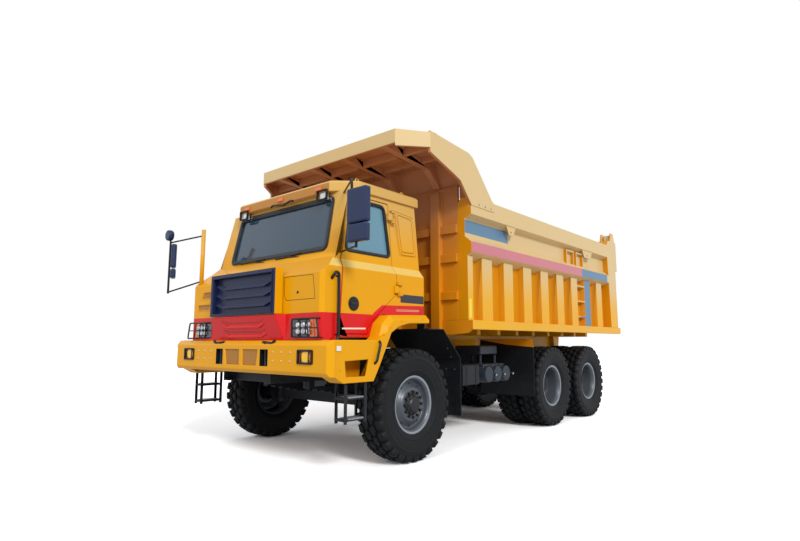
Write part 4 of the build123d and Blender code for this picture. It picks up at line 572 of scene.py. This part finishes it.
def make_tyre_mesh():
    """A tyre about the X axis: a turned casing with staggered six-sided blocks."""
    bm = bmesh.new()
    ring_mesh(bm, tyre_profile, 96, Vector(), close=True)
    pitch = 2 * pi * TYRE_RADIUS / PITCHES
    groove = 0.0085
    for index in range(PITCHES):
        for side in (-1, 1):
            base = (index + (0.25 if side > 0 else 0.75)) * pitch
            half = pitch / 2 - groove
            # Middle row block, then the shoulder block half a pitch on
            hexagon = ((0.006, 0.30), (0.038, 0.92), (0.068, 0.92), (0.092, 0.0),
                       (0.068, -0.92), (0.038, -0.92), (0.006, -0.30))
            add_tread_block(bm, [
                (side * across, base + side * share * half) for across, share in hexagon[::side]
            ])
            later = base + pitch / 2
            shoulder = ((0.104, 0.0), (0.124, 0.84), (0.186, 0.70), (0.186, -0.70), (0.124, -0.84))
            add_tread_block(bm, [
                (side * across, later + side * share * half) for across, share in shoulder[::side]
            ], depth=0.034)
    bmesh.ops.recalc_face_normals(bm, faces=bm.faces)
    mesh = mesh_of(bm, "tyre")
    mesh.materials.append(tyre_rubber)
    mesh.shade_smooth()
    return mesh


tyre_mesh = make_tyre_mesh()


def add_nuts(bm, count, circle, place, radius, length):
    """Nuts round the X axis, standing out from place."""
    for index in range(count):
        angle = 2 * pi * index / count
        middle = Vector((place, circle * cos(angle), circle * sin(angle)))
        ring_mesh(bm, ((0, radius), (length * 0.8, radius), (length, radius * 0.8), (length, 0)),
                  6, middle)


def make_rim_mesh(name, profile, nut_circle, nut_place, nut_count, hole_circle, hole_place):
    """A rim about the X axis with its nuts and hand holes."""
    bm = bmesh.new()
    ring_mesh(bm, profile, 72, Vector())
    for face in bm.faces:
        face.smooth = True
    body_faces = len(bm.faces)
    add_nuts(bm, nut_count, nut_circle, nut_place, 0.017, 0.032)
    for index in range(10):
        angle = 2 * pi * (index + 0.5) / 10
        middle = Vector((hole_place, hole_circle * cos(angle), hole_circle * sin(angle)))
        ring_mesh(bm, ((0.0015, 0.022), (0.003, 0.019), (0.001, 0.0)), 20, middle)
    bm.faces.ensure_lookup_table()
    for face in bm.faces[body_faces:]:
        face.material_index = 1
    for face in bm.faces[:body_faces]:
        middle = face.calc_center_median()
        # The outer lip takes the painted highlight
        if middle.x > 0.1 and (middle.y**2 + middle.z**2) ** 0.5 > 0.322:
            face.material_index = 2
    bmesh.ops.recalc_face_normals(bm, faces=bm.faces)
    mesh = mesh_of(bm, name)
    for material in (rim_grey, hub_black, rim_lip_highlight):
        mesh.materials.append(material)
    return mesh


# Columns: place towards the outside of the truck, radius
rim_lip = (
    (-0.142, 0.352), (-0.130, 0.340), (-0.125, 0.318), (0.120, 0.318), (0.130, 0.330),
    (0.142, 0.352), (0.144, 0.350), (0.136, 0.326), (0.124, 0.306),
)
front_rim_profile = rim_lip + (
    (0.100, 0.297), (0.060, 0.290), (0.052, 0.280), (0.060, 0.255), (0.100, 0.215),
    (0.118, 0.200), (0.122, 0.190), (0.122, 0.120), (0.0, 0.120),
)
rear_rim_profile = rim_lip + (
    (0.060, 0.297), (-0.060, 0.285), (-0.120, 0.262), (-0.140, 0.240), (-0.140, 0.150),
    (-0.2, 0.150),
)
front_rim_mesh = make_rim_mesh("front_rim", front_rim_profile, 0.155, 0.122, 12, 0.248, 0.068)
rear_rim_mesh = make_rim_mesh("rear_rim", rear_rim_profile, 0.185, -0.140, 12, 0.235, -0.137)


def make_hub_mesh(name, profile, bolt_count, bolt_circle, bolt_place):
    bm = bmesh.new()
    ring_mesh(bm, profile, 40, Vector())
    add_nuts(bm, bolt_count, bolt_circle, bolt_place, 0.009, 0.012)
    bmesh.ops.recalc_face_normals(bm, faces=bm.faces)
    mesh = mesh_of(bm, name)
    mesh.materials.append(hub_black)
    return mesh


front_hub_mesh = make_hub_mesh("front_hub", (
    (0.0, 0.128), (0.130, 0.128), (0.142, 0.120), (0.146, 0.100), (0.158, 0.092), (0.168, 0.080),
    (0.170, 0.0),
), 8, 0.108, 0.144)
rear_hub_mesh = make_hub_mesh("rear_hub", (
    (-0.30, 0.158), (-0.06, 0.158), (-0.045, 0.150), (-0.042, 0.125), (-0.02, 0.118),
    (-0.012, 0.105), (-0.010, 0.0),
), 12, 0.137, -0.043)


def place_wheel_part(name, mesh, body, middle, outward, replaced=None):
    """A wheel part, made about the X axis, at middle and facing outward, -1 or 1."""
    piece = add_object(name, mesh)
    piece.matrix_world = Matrix.Translation(middle) @ Matrix.Rotation(
        0 if outward > 0 else pi, 4, "Z"
    )
    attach(piece, body)
    if replaced:
        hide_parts(replaced)


for place in ("front_left", "front_right"):
    outward = 1 if place.endswith("left") else -1
    body = place + "_wheel"
    middle = node_middle("tyre_" + place)
    place_wheel_part("tyre_" + place + "_tread", tyre_mesh, body, middle, outward,
                     "tyre_" + place)
    place_wheel_part("rim_" + place + "_face", front_rim_mesh, body, middle, outward,
                     "rim_" + place)
    place_wheel_part("hub_" + place, front_hub_mesh, body, middle, outward)
dual_half = 0.215
for place in ("middle_left", "middle_right", "rear_left", "rear_right"):
    outward = 1 if place.endswith("left") else -1
    body = place + "_wheels"
    middle = node_middle("tyres_" + place)
    for name, shift in (("outer", outward * dual_half), ("inner", -outward * dual_half)):
        centre = middle + Vector((shift, 0, 0))
        facing = outward if name == "outer" else -outward
        place_wheel_part(f"tyre_{place}_{name}", tyre_mesh, body, centre, outward,
                         "tyres_" + place)
        place_wheel_part(f"rim_{place}_{name}", rear_rim_mesh, body, centre, facing,
                         "rims_" + place)
    place_wheel_part("hub_" + place, rear_hub_mesh, body,
                     middle + Vector((outward * dual_half, 0, 0)), outward)

strip_red = surface("chin_strip", (150, 40, 26), 0.5, colour_change=0.2)

# Places on the truck's surfaces. Each takes two coordinates of the surface and a depth outwards

# Columns: height, half width of the cab there
CAB_SIDE = ((0.0, 1.380), (2.3, 1.380), (2.4, 1.300), (3.29, 1.215), (4.0, 1.147))


def cab_half(z):
    for (low, first), (high, second) in zip(CAB_SIDE, CAB_SIDE[1:]):
        if z <= high:
            return first + (second - first) * (z - low) / (high - low)
    return CAB_SIDE[-1][1]


def on_cab(side):
    return lambda y, z, depth: Vector((side * (cab_half(z) + depth), along(y), z))


def on_x(x):
    return lambda y, z, depth: Vector((x + copysign(depth, x), along(y), z))


def on_y(front):
    return lambda x, z, depth: at(x, front - depth, z)


on_nose = on_y(-1.380)
# The guards of the headlamps stand this far ahead of the front axle
GUARD_FRONT = -1.425


def on_rear(back):
    return lambda x, z, depth: at(x, back + depth, z)


def on_windshield(x, z, depth):
    return Vector((x, along(-1.015 + (z - 2.52) * 0.2013 - depth), z))


def on_chin(x, z, depth):
    return Vector((x, along(-1.390 - (z - 1.465) * 0.334 - depth), z))


def drawn_in(points, amount):
    """An outline drawn in by amount, or out where it is negative."""
    count = len(points)
    area = sum(points[i - 1][0] * points[i][1] - points[i][0] * points[i - 1][1]
               for i in range(count))
    turn = 1 if area > 0 else -1
    moved = []
    for i in range(count):
        before, corner, after = (Vector(points[k % count]) for k in (i - 1, i, i + 1))
        first, second = (corner - before).normalized(), (after - corner).normalized()
        first, second = Vector((-first.y, first.x)) * turn, Vector((-second.y, second.x)) * turn
        moved.append(tuple(corner + (first + second) * amount / (1 + first.dot(second))))
    return moved


def round_corner_points(before, corner, after, reach, steps):
    """Points of a curve that cuts a corner, reach away from it on both sides."""
    start = corner + (before - corner).normalized() * reach
    end = corner + (after - corner).normalized() * reach
    return [
        start * (1 - share) ** 2 + corner * 2 * share * (1 - share) + end * share**2
        for share in (step / steps for step in range(steps + 1))
    ]


def rounded(points, radius):
    """An outline with its corners rounded."""
    result = []
    count = len(points)
    for i in range(count):
        corners = (Vector(points[k % count]) for k in (i - 1, i, i + 1))
        result.extend(tuple(point) for point in round_corner_points(*corners, radius, 5))
    return result


def rectangle(low, high):
    return (low, (high[0], low[1]), high, (low[0], high[1]))


def join_loops(bm, loops, ring=False):
    """Joins loops of points in turn; the ends are capped, or joined where it is a ring."""
    rings = [[bm.verts.new(point) for point in loop] for loop in loops]
    pairs = list(zip(rings, rings[1:]))
    if ring:
        pairs.append((rings[-1], rings[0]))
    else:
        bm.faces.new(rings[0][::-1])
        bm.faces.new(rings[-1])
    for one, two in pairs:
        for i in range(len(one)):
            j = (i + 1) % len(one)
            bm.faces.new((one[i], one[j], two[j], two[i]))


def finished_piece(bm, name, material, rounding=0.0, smooth=False, body="chassis"):
    bmesh.ops.recalc_face_normals(bm, faces=bm.faces)
    piece = add_piece(name, mesh_of(bm, name), body, material, smooth=smooth)
    if rounding:
        round_edges(piece, rounding)
    return piece


def frames_on(name, frames, place, material, rounding=0.002, body="chassis"):
    """Flat frames on a surface, each as (outer outline, inner outline, lower, upper depth)."""
    bm = bmesh.new()
    for outer, inner, low, high in frames:
        join_loops(bm, (
            [place(*p, low) for p in outer], [place(*p, high) for p in outer],
            [place(*p, high) for p in inner], [place(*p, low) for p in inner],
        ), ring=True)
    return finished_piece(bm, name, material, rounding, body=body)


def plates_on(name, plates, place, material, rounding=0.002, body="chassis"):
    """Flat plates on a surface, each as (outline, lower depth, upper depth)."""
    bm = bmesh.new()
    for outline, low, high in plates:
        join_loops(bm, ([place(*p, low) for p in outline], [place(*p, high) for p in outline]))
    return finished_piece(bm, name, material, rounding, body=body)


def band(points, width):
    """The outline of a line of this width through points."""
    sides = ([], [])
    for i, point in enumerate(points):
        before = Vector(points[max(0, i - 1)])
        after = Vector(points[min(len(points) - 1, i + 1)])
        run = (after - before).normalized()
        across = Vector((-run.y, run.x)) * width / 2
        sides[0].append(tuple(Vector(point) + across))
        sides[1].append(tuple(Vector(point) - across))
    return sides[0] + sides[1][::-1]


def bent(points, radius):
    """A path through points with its inner corners rounded."""
    points = [Vector(p) for p in points]
    result = [points[0]]
    for before, corner, after in zip(points, points[1:], points[2:]):
        reach = min(radius, (before - corner).length / 2.1, (after - corner).length / 2.1)
        result.extend(round_corner_points(before, corner, after, reach, 4))
    result.append(points[-1])
    return result


def sweep(bm, path, radius, sides=10):
    """A round bar along a path."""
    tangents = []
    for i in range(len(path)):
        tangents.append((path[min(i + 1, len(path) - 1)] - path[max(i - 1, 0)]).normalized())
    across = tangents[0].orthogonal().normalized()
    loops = []
    for point, tangent in zip(path, tangents):
        across = (across - tangent * across.dot(tangent)).normalized()
        up = tangent.cross(across)
        loops.append([
            point + radius * (cos(2 * pi * k / sides) * across + sin(2 * pi * k / sides) * up)
            for k in range(sides)
        ])
    join_loops(bm, loops)


def bars_piece(name, bars, material=black):
    """Round bars, each as (points, radius, corner radius), in one piece."""
    bm = bmesh.new()
    for points, radius, corner in bars:
        sweep(bm, bent(points, corner), radius)
    piece = finished_piece(bm, name, material)
    for polygon in piece.data.polygons:
        polygon.use_smooth = len(polygon.vertices) == 4
    return piece


def studs_piece(name, places, outward, radius, length, material, sides=6, body="chassis"):
    """Bolt heads or lenses that stand out from places."""
    bm = bmesh.new()
    for place in places:
        ring_mesh(bm, ((-0.004, radius), (length * 0.7, radius), (length, radius * 0.78),
                       (length, 0)), sides, Vector(place), Vector(outward))
    return finished_piece(bm, name, material, body=body)


# Windows: rubber seals round the glass
windshield_outline = ((-1.010, 2.560), (1.010, 2.560), (0.985, 3.215), (-0.985, 3.215))
door_window = ((-0.955, 2.518), (-0.180, 2.518), (-0.232, 3.178), (-0.822, 3.178))
rear_window = ((-0.700, 2.600), (0.700, 2.600), (0.700, 3.100), (-0.700, 3.100))


def seal(name, outline, place, body, outside, inside):
    round_corner = rounded(outline, 0.07)
    frames_on(name, [
        (drawn_in(round_corner, -outside), drawn_in(round_corner, inside), -0.02, 0.010),
        (drawn_in(round_corner, -outside * 0.45), drawn_in(round_corner, inside * 0.45),
         0.008, 0.017),
    ], place, rubber, 0.004, body)


seal("windshield_seal", windshield_outline, on_windshield, "chassis", 0.030, 0.034)
seal("rear_window_seal", rear_window, on_rear(0.410), "chassis", 0.02, 0.02)
for side, label in SIDES:
    seal(label + "_door_seal", door_window, on_cab(side), label + "_door", 0.018, 0.022)

# Wipers and the spray nozzle
wiper_bars = []
wiper_blades = []
for pivot, elbow, tips in (
    ((0.031, -1.036, 2.434), (-0.201, -1.035, 2.498), ((-0.776, 2.537), (-0.196, 2.544))),
    ((0.789, -1.036, 2.437), (0.546, -1.035, 2.497), ((0.055, 2.512), (0.548, 2.550))),
):
    start = Vector((pivot[0], along(pivot[1]), pivot[2]))
    middle = Vector((elbow[0], along(elbow[1]), elbow[2]))
    blade = [on_windshield(x, z, 0.024) for x, z in tips]
    wiper_bars.append(((start, middle, (blade[0] + blade[1]) / 2), 0.008, 0.05))
    wiper_bars.append((blade, 0.006, 0.0))
    wiper_blades.append((band(tips, 0.022), 0.004, 0.02))
bars_piece("wiper_arms", wiper_bars)
plates_on("wiper_blades", wiper_blades, on_windshield, rubber, 0.003)
studs_piece("wiper_pivots", [at(0.031, -1.005, 2.434), at(0.789, -1.005, 2.437),
                             at(0.856, -1.005, 2.442)],
            (0, -0.98, 0.2), 0.022, 0.036, black, 14)

# Roof visor: its handle and the housings of its work lamps
bars_piece("visor_handle", [([
    at(x, -0.955, z) for x, z in
    ((-0.192, 3.264), (-0.162, 3.291), (0.081, 3.251), (0.225, 3.294), (0.283, 3.278))
], 0.012, 0.03)])
work_lamps = []
for middle_x in (-0.85, 0.85):
    outline = rounded(rectangle((middle_x - 0.095, 3.190), (middle_x + 0.095, 3.325)), 0.02)
    work_lamps.append((outline, drawn_in(outline, 0.018), 0.0, 0.03))
frames_on("work_lamp_housings", work_lamps, on_y(-0.935), black, 0.004)

# Headlamps: three by two lenses behind a guard
for side, label in SIDES:
    lens_places = [
        (side * (0.951 + 0.0452 * (1 + 2 * column)), along(-1.385), 1.5665 + 0.070 * row)
        for column in range(3) for row in range(2)
    ]
    studs_piece(label + "_headlamp_rings", lens_places, (0, -1, 0), 0.036, 0.014, chrome, 24)
    studs_piece(label + "_headlamp_lenses",
                [at(x, -1.394, z) for x, y, z in lens_places], (0, -1, 0), 0.026, 0.012,
                white_lens, 20)
    guard = [Vector((side * x, z)) for x, z in
             ((0.935, 1.502), (1.395, 1.495), (1.350, 1.706), (0.925, 1.704))]
    cage = [(guard + guard[:1], 0.010)]
    # Two upright bars and one across
    for share in (0.33, 0.62):
        cage.append(((guard[0].lerp(guard[1], share), guard[3].lerp(guard[2], share)), 0.007))
    cage.append(((guard[0].lerp(guard[3], 0.5), guard[1].lerp(guard[2], 0.5)), 0.007))
    bars = [([at(x, GUARD_FRONT, z) for x, z in points], radius, 0.03) for points, radius in cage]
    for x, z in guard:
        bars.append(((at(x, GUARD_FRONT, z), at(x, -1.372, z)), 0.008, 0.0))
    bars_piece(label + "_headlamp_guard", bars)

    # Fog lamps: frame and guard bars
    fog = rounded([(side * x, z) for x, z in
                   ((1.105, 1.208), (1.362, 1.208), (1.362, 1.366), (1.105, 1.366))], 0.02)
    frames_on(label + "_fog_frame", [(fog, drawn_in(fog, 0.022), -0.01, 0.014)], on_y(-1.475),
              black, 0.004)
    bars_piece(label + "_fog_guard", [
        (((side * (1.105 + 0.0643 * k), along(-1.482), 1.215),
          (side * (1.105 + 0.0643 * k), along(-1.482), 1.360)), 0.0055, 0.0) for k in (1, 3)
    ])
    studs_piece(label + "_fog_lens", [at(side * 1.2335, -1.462, 1.287)], (0, -1, 0), 0.074,
                0.014, fog_amber, 28)

    # Bumper bolts and the tow pins' handles
    studs_piece(label + "_bumper_bolts", [
        at(side * x, -1.475, z) for x in (0.662, 0.822, 0.980) for z in (1.2345, 1.333)
    ], (0, -1, 0), 0.011, 0.010, pale_line)
    bars_piece(label + "_tow_pin_handle", [
        ([at(side * 0.479, -1.445, 1.36), at(side * 0.479, -1.445, 1.450)], 0.022, 0.0),
        ([at(side * 0.42, -1.445, 1.446), at(side * 0.60, -1.450, 1.432),
          at(side * 0.655, -1.450, 1.462)], 0.016, 0.02),
    ])

    # Bolts of the wheel arch
    studs_piece(label + "_arch_bolts", [
        at(side * 1.600, y, z) for y, z in
        ((-0.62, 1.53), (-0.50, 1.62), (-0.30, 1.70), (0.10, 1.73), (-1.30, 1.35), (-1.30, 1.15))
    ], (side, 0, 0), 0.010, 0.008, yellow)

# Chin: a dark mesh strip over each ridge
strips = []
for knee_z, end_z in ((1.643, 1.685), (1.530, 1.565)):
    line = [(-0.45, end_z), (-0.35, knee_z), (0.35, knee_z), (0.45, end_z)]
    strips.append((band([(x, z + 0.036) for x, z in line], 0.012), -0.002, 0.003))
plates_on("chin_mesh_strips", strips, on_chin, strip_red, 0.0)

studs_piece("panel_latch", [at(0.966, -1.379, 2.010)], (0, -1, 0), 0.016, 0.008, black, 16)

# Right front vents and the left front panel's groove
vents = []
vent_frames = []
for outline in (((-1.143, 2.040), (-0.896, 2.040), (-0.900, 2.120), (-1.100, 2.120)),
                ((-1.225, 1.880), (-0.925, 1.880), (-0.895, 1.950), (-1.215, 1.950))):
    vents.append((outline, -0.014, -0.010))
    vent_frames.append((drawn_in(outline, -0.014), outline, -0.01, 0.006))
plates_on("vent_meshes", vents, on_nose, mesh_brown, 0.0)
frames_on("vent_frames", vent_frames, on_nose, yellow, 0.004)
plates_on("nose_panel_grooves", [
    (band(line, 0.006), -0.002, 0.0012) for line in (
        ((0.720, 2.198), (1.228, 2.195)), ((1.228, 2.195), (1.268, 1.925)),
        ((1.268, 1.925), (0.760, 1.925)), ((0.720, 2.198), (0.720, 1.98), (0.760, 1.925)),
    )
], on_nose, rubber, 0.0)

for side, label in SIDES:
    # Lines in the red belt, the marker plate, the lock and the panel behind the door
    plates_on(label + "_door_line", [(band(((-1.074, 1.598), (-0.700, 1.604)), 0.018),
                                      -0.001, 0.0015)],
              on_cab(side), white_paint, 0.0, label + "_door")
    plates_on(label + "_cab_lines", [
        (band(((-0.157, 1.833 + step), (0.300, 1.843 + step)), 0.006), -0.001, 0.0015)
        for step in (0.0, 0.015)
    ], on_cab(side), pale_line, 0.0)
    plates_on(label + "_marker_plate", [
        (rounded(rectangle((-0.070, 1.945), (0.395, 2.048)), 0.012), -0.001, 0.005)
    ], on_cab(side), plate_dark, 0.002)
    studs_piece(label + "_lock_plate", [at(side * 1.379, -0.900, 1.886)], (side, 0, 0),
                0.082, 0.014, black, 36, label + "_door")
    plates_on(label + "_lock_lever", [
        (rounded(rectangle((-0.955, 1.872), (-0.850, 1.900)), 0.012), 0.010, 0.024)
    ], on_cab(side), rubber, 0.005, label + "_door")
    quarter = rounded([(-0.012, 3.150), (0.338, 3.118), (0.346, 2.594), (0.038, 2.584)], 0.07)
    frames_on(label + "_quarter_rim", [(drawn_in(quarter, -0.004), drawn_in(quarter, 0.022),
                                        -0.002, 0.010)], on_cab(side), yellow, 0.005)
    plates_on(label + "_quarter_panel", [(drawn_in(quarter, 0.034), -0.004, 0.014)],
              on_cab(side), yellow, 0.012)
    # Foot opening's pocket in painted shade, its strap handle and the step treads
    pocket = bmesh.new()
    join_loops(pocket, [[at(side * x, y, z) for y, z in
                         ((-1.270, 1.040), (-1.280, 1.285), (-0.800, 1.300), (-0.820, 1.040))]
                        for x in (1.388, 1.402)])
    finished_piece(pocket, label + "_foot_pocket", recess_painted_shade)
    bars_piece(label + "_strap_handle", [([
        at(side * x, y, z) for x, y, z in
        ((1.598, -0.695, 1.457), (1.632, -0.705, 1.430), (1.632, -0.765, 1.232),
         (1.598, -0.774, 1.206))
    ], 0.014, 0.03)])
    side_blocks(label + "_step_treads", side, [
        ((1.416, 1.564), (-1.134, -0.906), (z, z + 0.016)) for z in (0.619, 0.844)
    ], tread_grey)
    # Grab pipe with hooked ends, mudguard bolts and the small lamp on the fender
    pipe_low, pipe_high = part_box("grab_pipes")
    pipe_x, pipe_y = pipe_high.x - 0.016, (pipe_low.y + pipe_high.y) / 2
    hook = [
        (side * (pipe_x - inwards), pipe_y - forwards, z) for inwards, forwards, z in
        ((0.045, 0.075, 2.150), (0.0, 0.075, 2.190), (0.0, 0.050, 2.228), (0.0, 0.0, 2.210),
         (0.0, 0.0, 1.500), (0.0, 0.040, 1.440), (0.045, 0.085, 1.470))
    ]
    pipe_piece = bars_piece(label + "_grab_pipe", [(hook, 0.017, 0.05)] + [
        (((side * 1.372, pipe_y, z), (side * pipe_x, pipe_y, z)), 0.012, 0.0)
        for z in (1.530, 2.180)
    ])
    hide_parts("grab_pipes")
    studs_piece(label + "_mudguard_bolts", [
        at(side * 1.600, y, z) for y, z in
        ((0.626, 1.366), (0.700, 1.250), (0.593, 1.098), (0.780, 1.085))
    ], (side, 0, 0), 0.010, 0.006, tank_grey)
    plates_on(label + "_fender_lamp", [
        (rounded(rectangle((-1.362, 1.352), (-1.296, 1.406)), 0.008), -0.002, 0.012)
    ], on_x(side * 1.600), white_paint, 0.002)
    # Tail lamps on brackets at the ends of the frame rails
    side_blocks(label + "_tail_bracket", side,
                [((0.498, 0.70), (6.110, 6.150), (1.060, 1.120))], chassis)
    side_blocks(label + "_tail_housing", side,
                [((0.60, 0.93), (6.120, 6.185), (1.020, 1.160))], black, 0.012)
    for name, x, lens in (("_tail_lens", 0.685, tail_red), ("_turn_lens", 0.835, amber)):
        studs_piece(label + name, [at(side * x, 6.182, 1.090)], (0, 1, 0), 0.055, 0.012, lens, 28)
    # Red filler ahead of the door, behind the nose
    plates_on(label + "_door_front_filler", [
        (((-1.136, 1.500), (-1.112, 1.500), (-1.070, 2.290), (-1.136, 2.290)), -0.012, -0.004)
    ], on_cab(side), red, 0.0)

# The upright that carries the far mirrors is thick and painted
bars_piece("mirror_post_sleeve", [
    ((at(-1.270, -1.330, 2.20), at(-1.270, -1.330, 3.045)), 0.030, 0.0)
], yellow)

# Grille: the dark border of its insert, on the flap's face
opening = ((-0.638, 1.805), (0.638, 1.805), (0.638, 2.260), (-0.638, 2.260))
frames_on("grille_border", [
    (((-0.692, 1.782), (0.652, 1.782), (0.652, 2.292), (-0.692, 2.292)), opening, -0.002, 0.008),
    (((-0.680, 1.794), (0.644, 1.794), (0.644, 2.280), (-0.680, 2.280)), opening, 0.006, 0.014),
], on_y(-1.500), navy, 0.004, "grille")

# The plate over the sheet ahead of the twin wheels, in painted shade
plates_on("sheet_top_plate", [(((0.47, 1.50), (1.60, 1.50), (1.60, 1.360), (1.08, 1.405)),
                               0.004, 0.010)], on_y(3.050), wall_painted_shade, 0.002)

# Mirror glasses on the faces turned to the driver
for low_z, high_z, back in ((2.733, 3.127, -1.155), (2.523, 2.723, -1.160)):
    glass = rounded(rectangle((1.620, low_z + 0.02), (1.880, high_z - 0.02)), 0.03)
    plates_on(f"mirror_glass_{int(low_z * 1000)}", [(glass, -0.002, -0.0005)],
              on_y(back + 0.002), mirror_face, 0.001)

# Bed: blank sticker and bolts on the canopy's cheeks
plates_on("corner_sticker", [(((1.070, 1.78), (1.130, 1.78), (1.130, 2.05), (1.070, 2.05)),
                              -0.001, 0.0012)], on_x(1.660),
          sticker_yellow, 0.0, "bed")
for side, label in SIDES:
    studs_piece(label + "_cheek_bolts", [
        at(side * 1.735, y, 3.417) for y in (1.256, 1.426, 1.587)
    ], (side, 0, 0), 0.018, 0.014, steel, body="bed")

# Tanks: valves and straps
tank_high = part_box("air_tanks")[1]
valves = []
straps = bmesh.new()
for index in range(3):
    middle_y = 2.15 + 0.26 * index
    valves.append((tank_high.x - 0.002, along(middle_y), 0.945))
    for x in (0.80, 1.16):
        ring_mesh(straps, ((-0.018, 0.1235), (-0.018, 0.1275), (0.018, 0.1275), (0.018, 0.1235)),
                  40, at(x, middle_y, 0.945), close=True)
finished_piece(straps, "tank_straps", steel)
studs_piece("tank_valves", valves, (1, 0, 0), 0.022, 0.03, steel, 6)

# Seats: cushions with sewn channels on a plain base


def cushion(name, middle, half_across, along_vector, out_vector, channels):
    """A crowned pad; along and out are half its length and half its thickness."""
    bm = bmesh.new()
    bmesh.ops.create_cube(bm, size=2.0)
    bmesh.ops.subdivide_edges(bm, edges=bm.edges[:], cuts=11, use_grid_fill=True)
    for vert in bm.verts:
        u, v, w = vert.co
        edge = max(abs(u), abs(v))
        crown_share = 1.0 - 0.34 * edge**5
        if w > 0.5:
            for channel in channels:
                crown_share -= 0.10 * max(0.0, 1 - abs(v - channel) / 0.10)
            if abs(abs(u) - 0.68) < 0.09:
                crown_share -= 0.10
        waist = 1.0 - 0.05 * abs(w) ** 4 - 0.03 * (abs(u) * abs(v)) ** 6
        vert.co = middle + Vector((u * half_across * waist, 0, 0)) + v * waist * along_vector \
            + w * crown_share * out_vector
    for _ in range(2):
        bmesh.ops.smooth_vert(bm, verts=bm.verts, factor=0.4, use_axis_x=True, use_axis_y=True,
                              use_axis_z=True)
    piece = finished_piece(bm, name, fabric, smooth=True)
    return piece


seat_low, seat_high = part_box("cab_seats")
seat_half = seat_high.x - 0.62
seat_base = bmesh.new()
seat_pads = []
for side, label in ((1, "driver"), (-1, "passenger")):
    seat_pads.append(cushion(label + "_cushion", at(side * 0.62, -0.15, 2.225),
                             seat_half - 0.005, Vector((0, 0.245, 0)), Vector((0, 0, 0.072)),
                             (-0.35, 0.25)))
    lean = Vector((0, 0.128, 0.300))
    seat_pads.append(cushion(label + "_backrest", at(side * 0.62, 0.187, 2.590),
                             seat_half - 0.005, lean, Vector((0, -0.056, 0.012)),
                             (-0.45, 0.0, 0.45)))
    add_box(seat_base, (side * 0.62 - 0.19, along(-0.30), seat_low.z),
            (side * 0.62 + 0.19, along(0.15), 2.160))
base_piece = finished_piece(seat_base, "seat_bases", plastic, 0.012)
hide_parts("cab_seats")
for pad in seat_pads:
    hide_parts("cab_seats")

# Floor, world and lamps

FLOOR_REACH = 120.0
# How bright the floor is to the camera, so that it goes white round the shadow, and to the truck
FLOOR_SHOWN = (1.7, 1.7, 1.7, 1)
FLOOR_LIT = (0.72, 0.72, 0.72, 1)
floor_mesh = bpy.data.meshes.new("floor")
floor_mesh.from_pydata(
    [(x * FLOOR_REACH, y * FLOOR_REACH, 0) for x, y in ((-1, -1), (1, -1), (1, 1), (-1, 1))],
    [], [(0, 1, 2, 3)],
)
floor_material = bpy.data.materials.new("floor_white")
floor_material.use_nodes = True
tree = floor_material.node_tree
tree.nodes.clear()
path = add_node(tree, "ShaderNodeLightPath", {})
tone = add_node(tree, "ShaderNodeMix", {
    "Factor": path.outputs["Is Camera Ray"], "A": FLOOR_LIT, "B": FLOOR_SHOWN}, data_type="RGBA")
diffuse = add_node(tree, "ShaderNodeBsdfDiffuse", {"Color": tone.outputs["Result"]})
add_node(tree, "ShaderNodeOutputMaterial", {"Surface": diffuse.outputs[0]})
floor_mesh.materials.append(floor_material)
add_object("floor", floor_mesh)

# The world is plain white to the camera, in gloss and through glass, and a softer sky otherwise
world = bpy.data.worlds.new("world")
bpy.context.scene.world = world
world.use_nodes = True
tree = world.node_tree
sky = tree.nodes["Background"]
sky.inputs["Color"].default_value = (0.93, 0.96, 1.0, 1)
sky.inputs["Strength"].default_value = 0.55
shown = add_node(tree, "ShaderNodeBackground", {"Color": (1, 1, 1, 1)})
path = add_node(tree, "ShaderNodeLightPath", {})
seen = path.outputs["Is Camera Ray"]
for ray in ("Is Glossy Ray", "Is Transmission Ray"):
    seen = add_node(tree, "ShaderNodeMath", {0: seen, 1: path.outputs[ray]},
                    operation="MAXIMUM").outputs[0]
mix = add_node(tree, "ShaderNodeMixShader", {0: seen, 1: sky.outputs[0], 2: shown.outputs[0]})
tree.links.new(mix.outputs[0], tree.nodes["World Output"].inputs["Surface"])


def sun(name, azimuth, elevation, strength, angle):
    """A sun standing at an azimuth (0 shines along +Y) and an elevation, in degrees."""
    data = bpy.data.lights.new(name, "SUN")
    data.energy = strength
    data.angle = radians(angle)
    add_object(name, data).rotation_euler = (radians(90 - elevation), 0, radians(azimuth))


sun("key", 66, 32, 1.9, 14)
sun("fill", 8, 35, 0.55, 30)
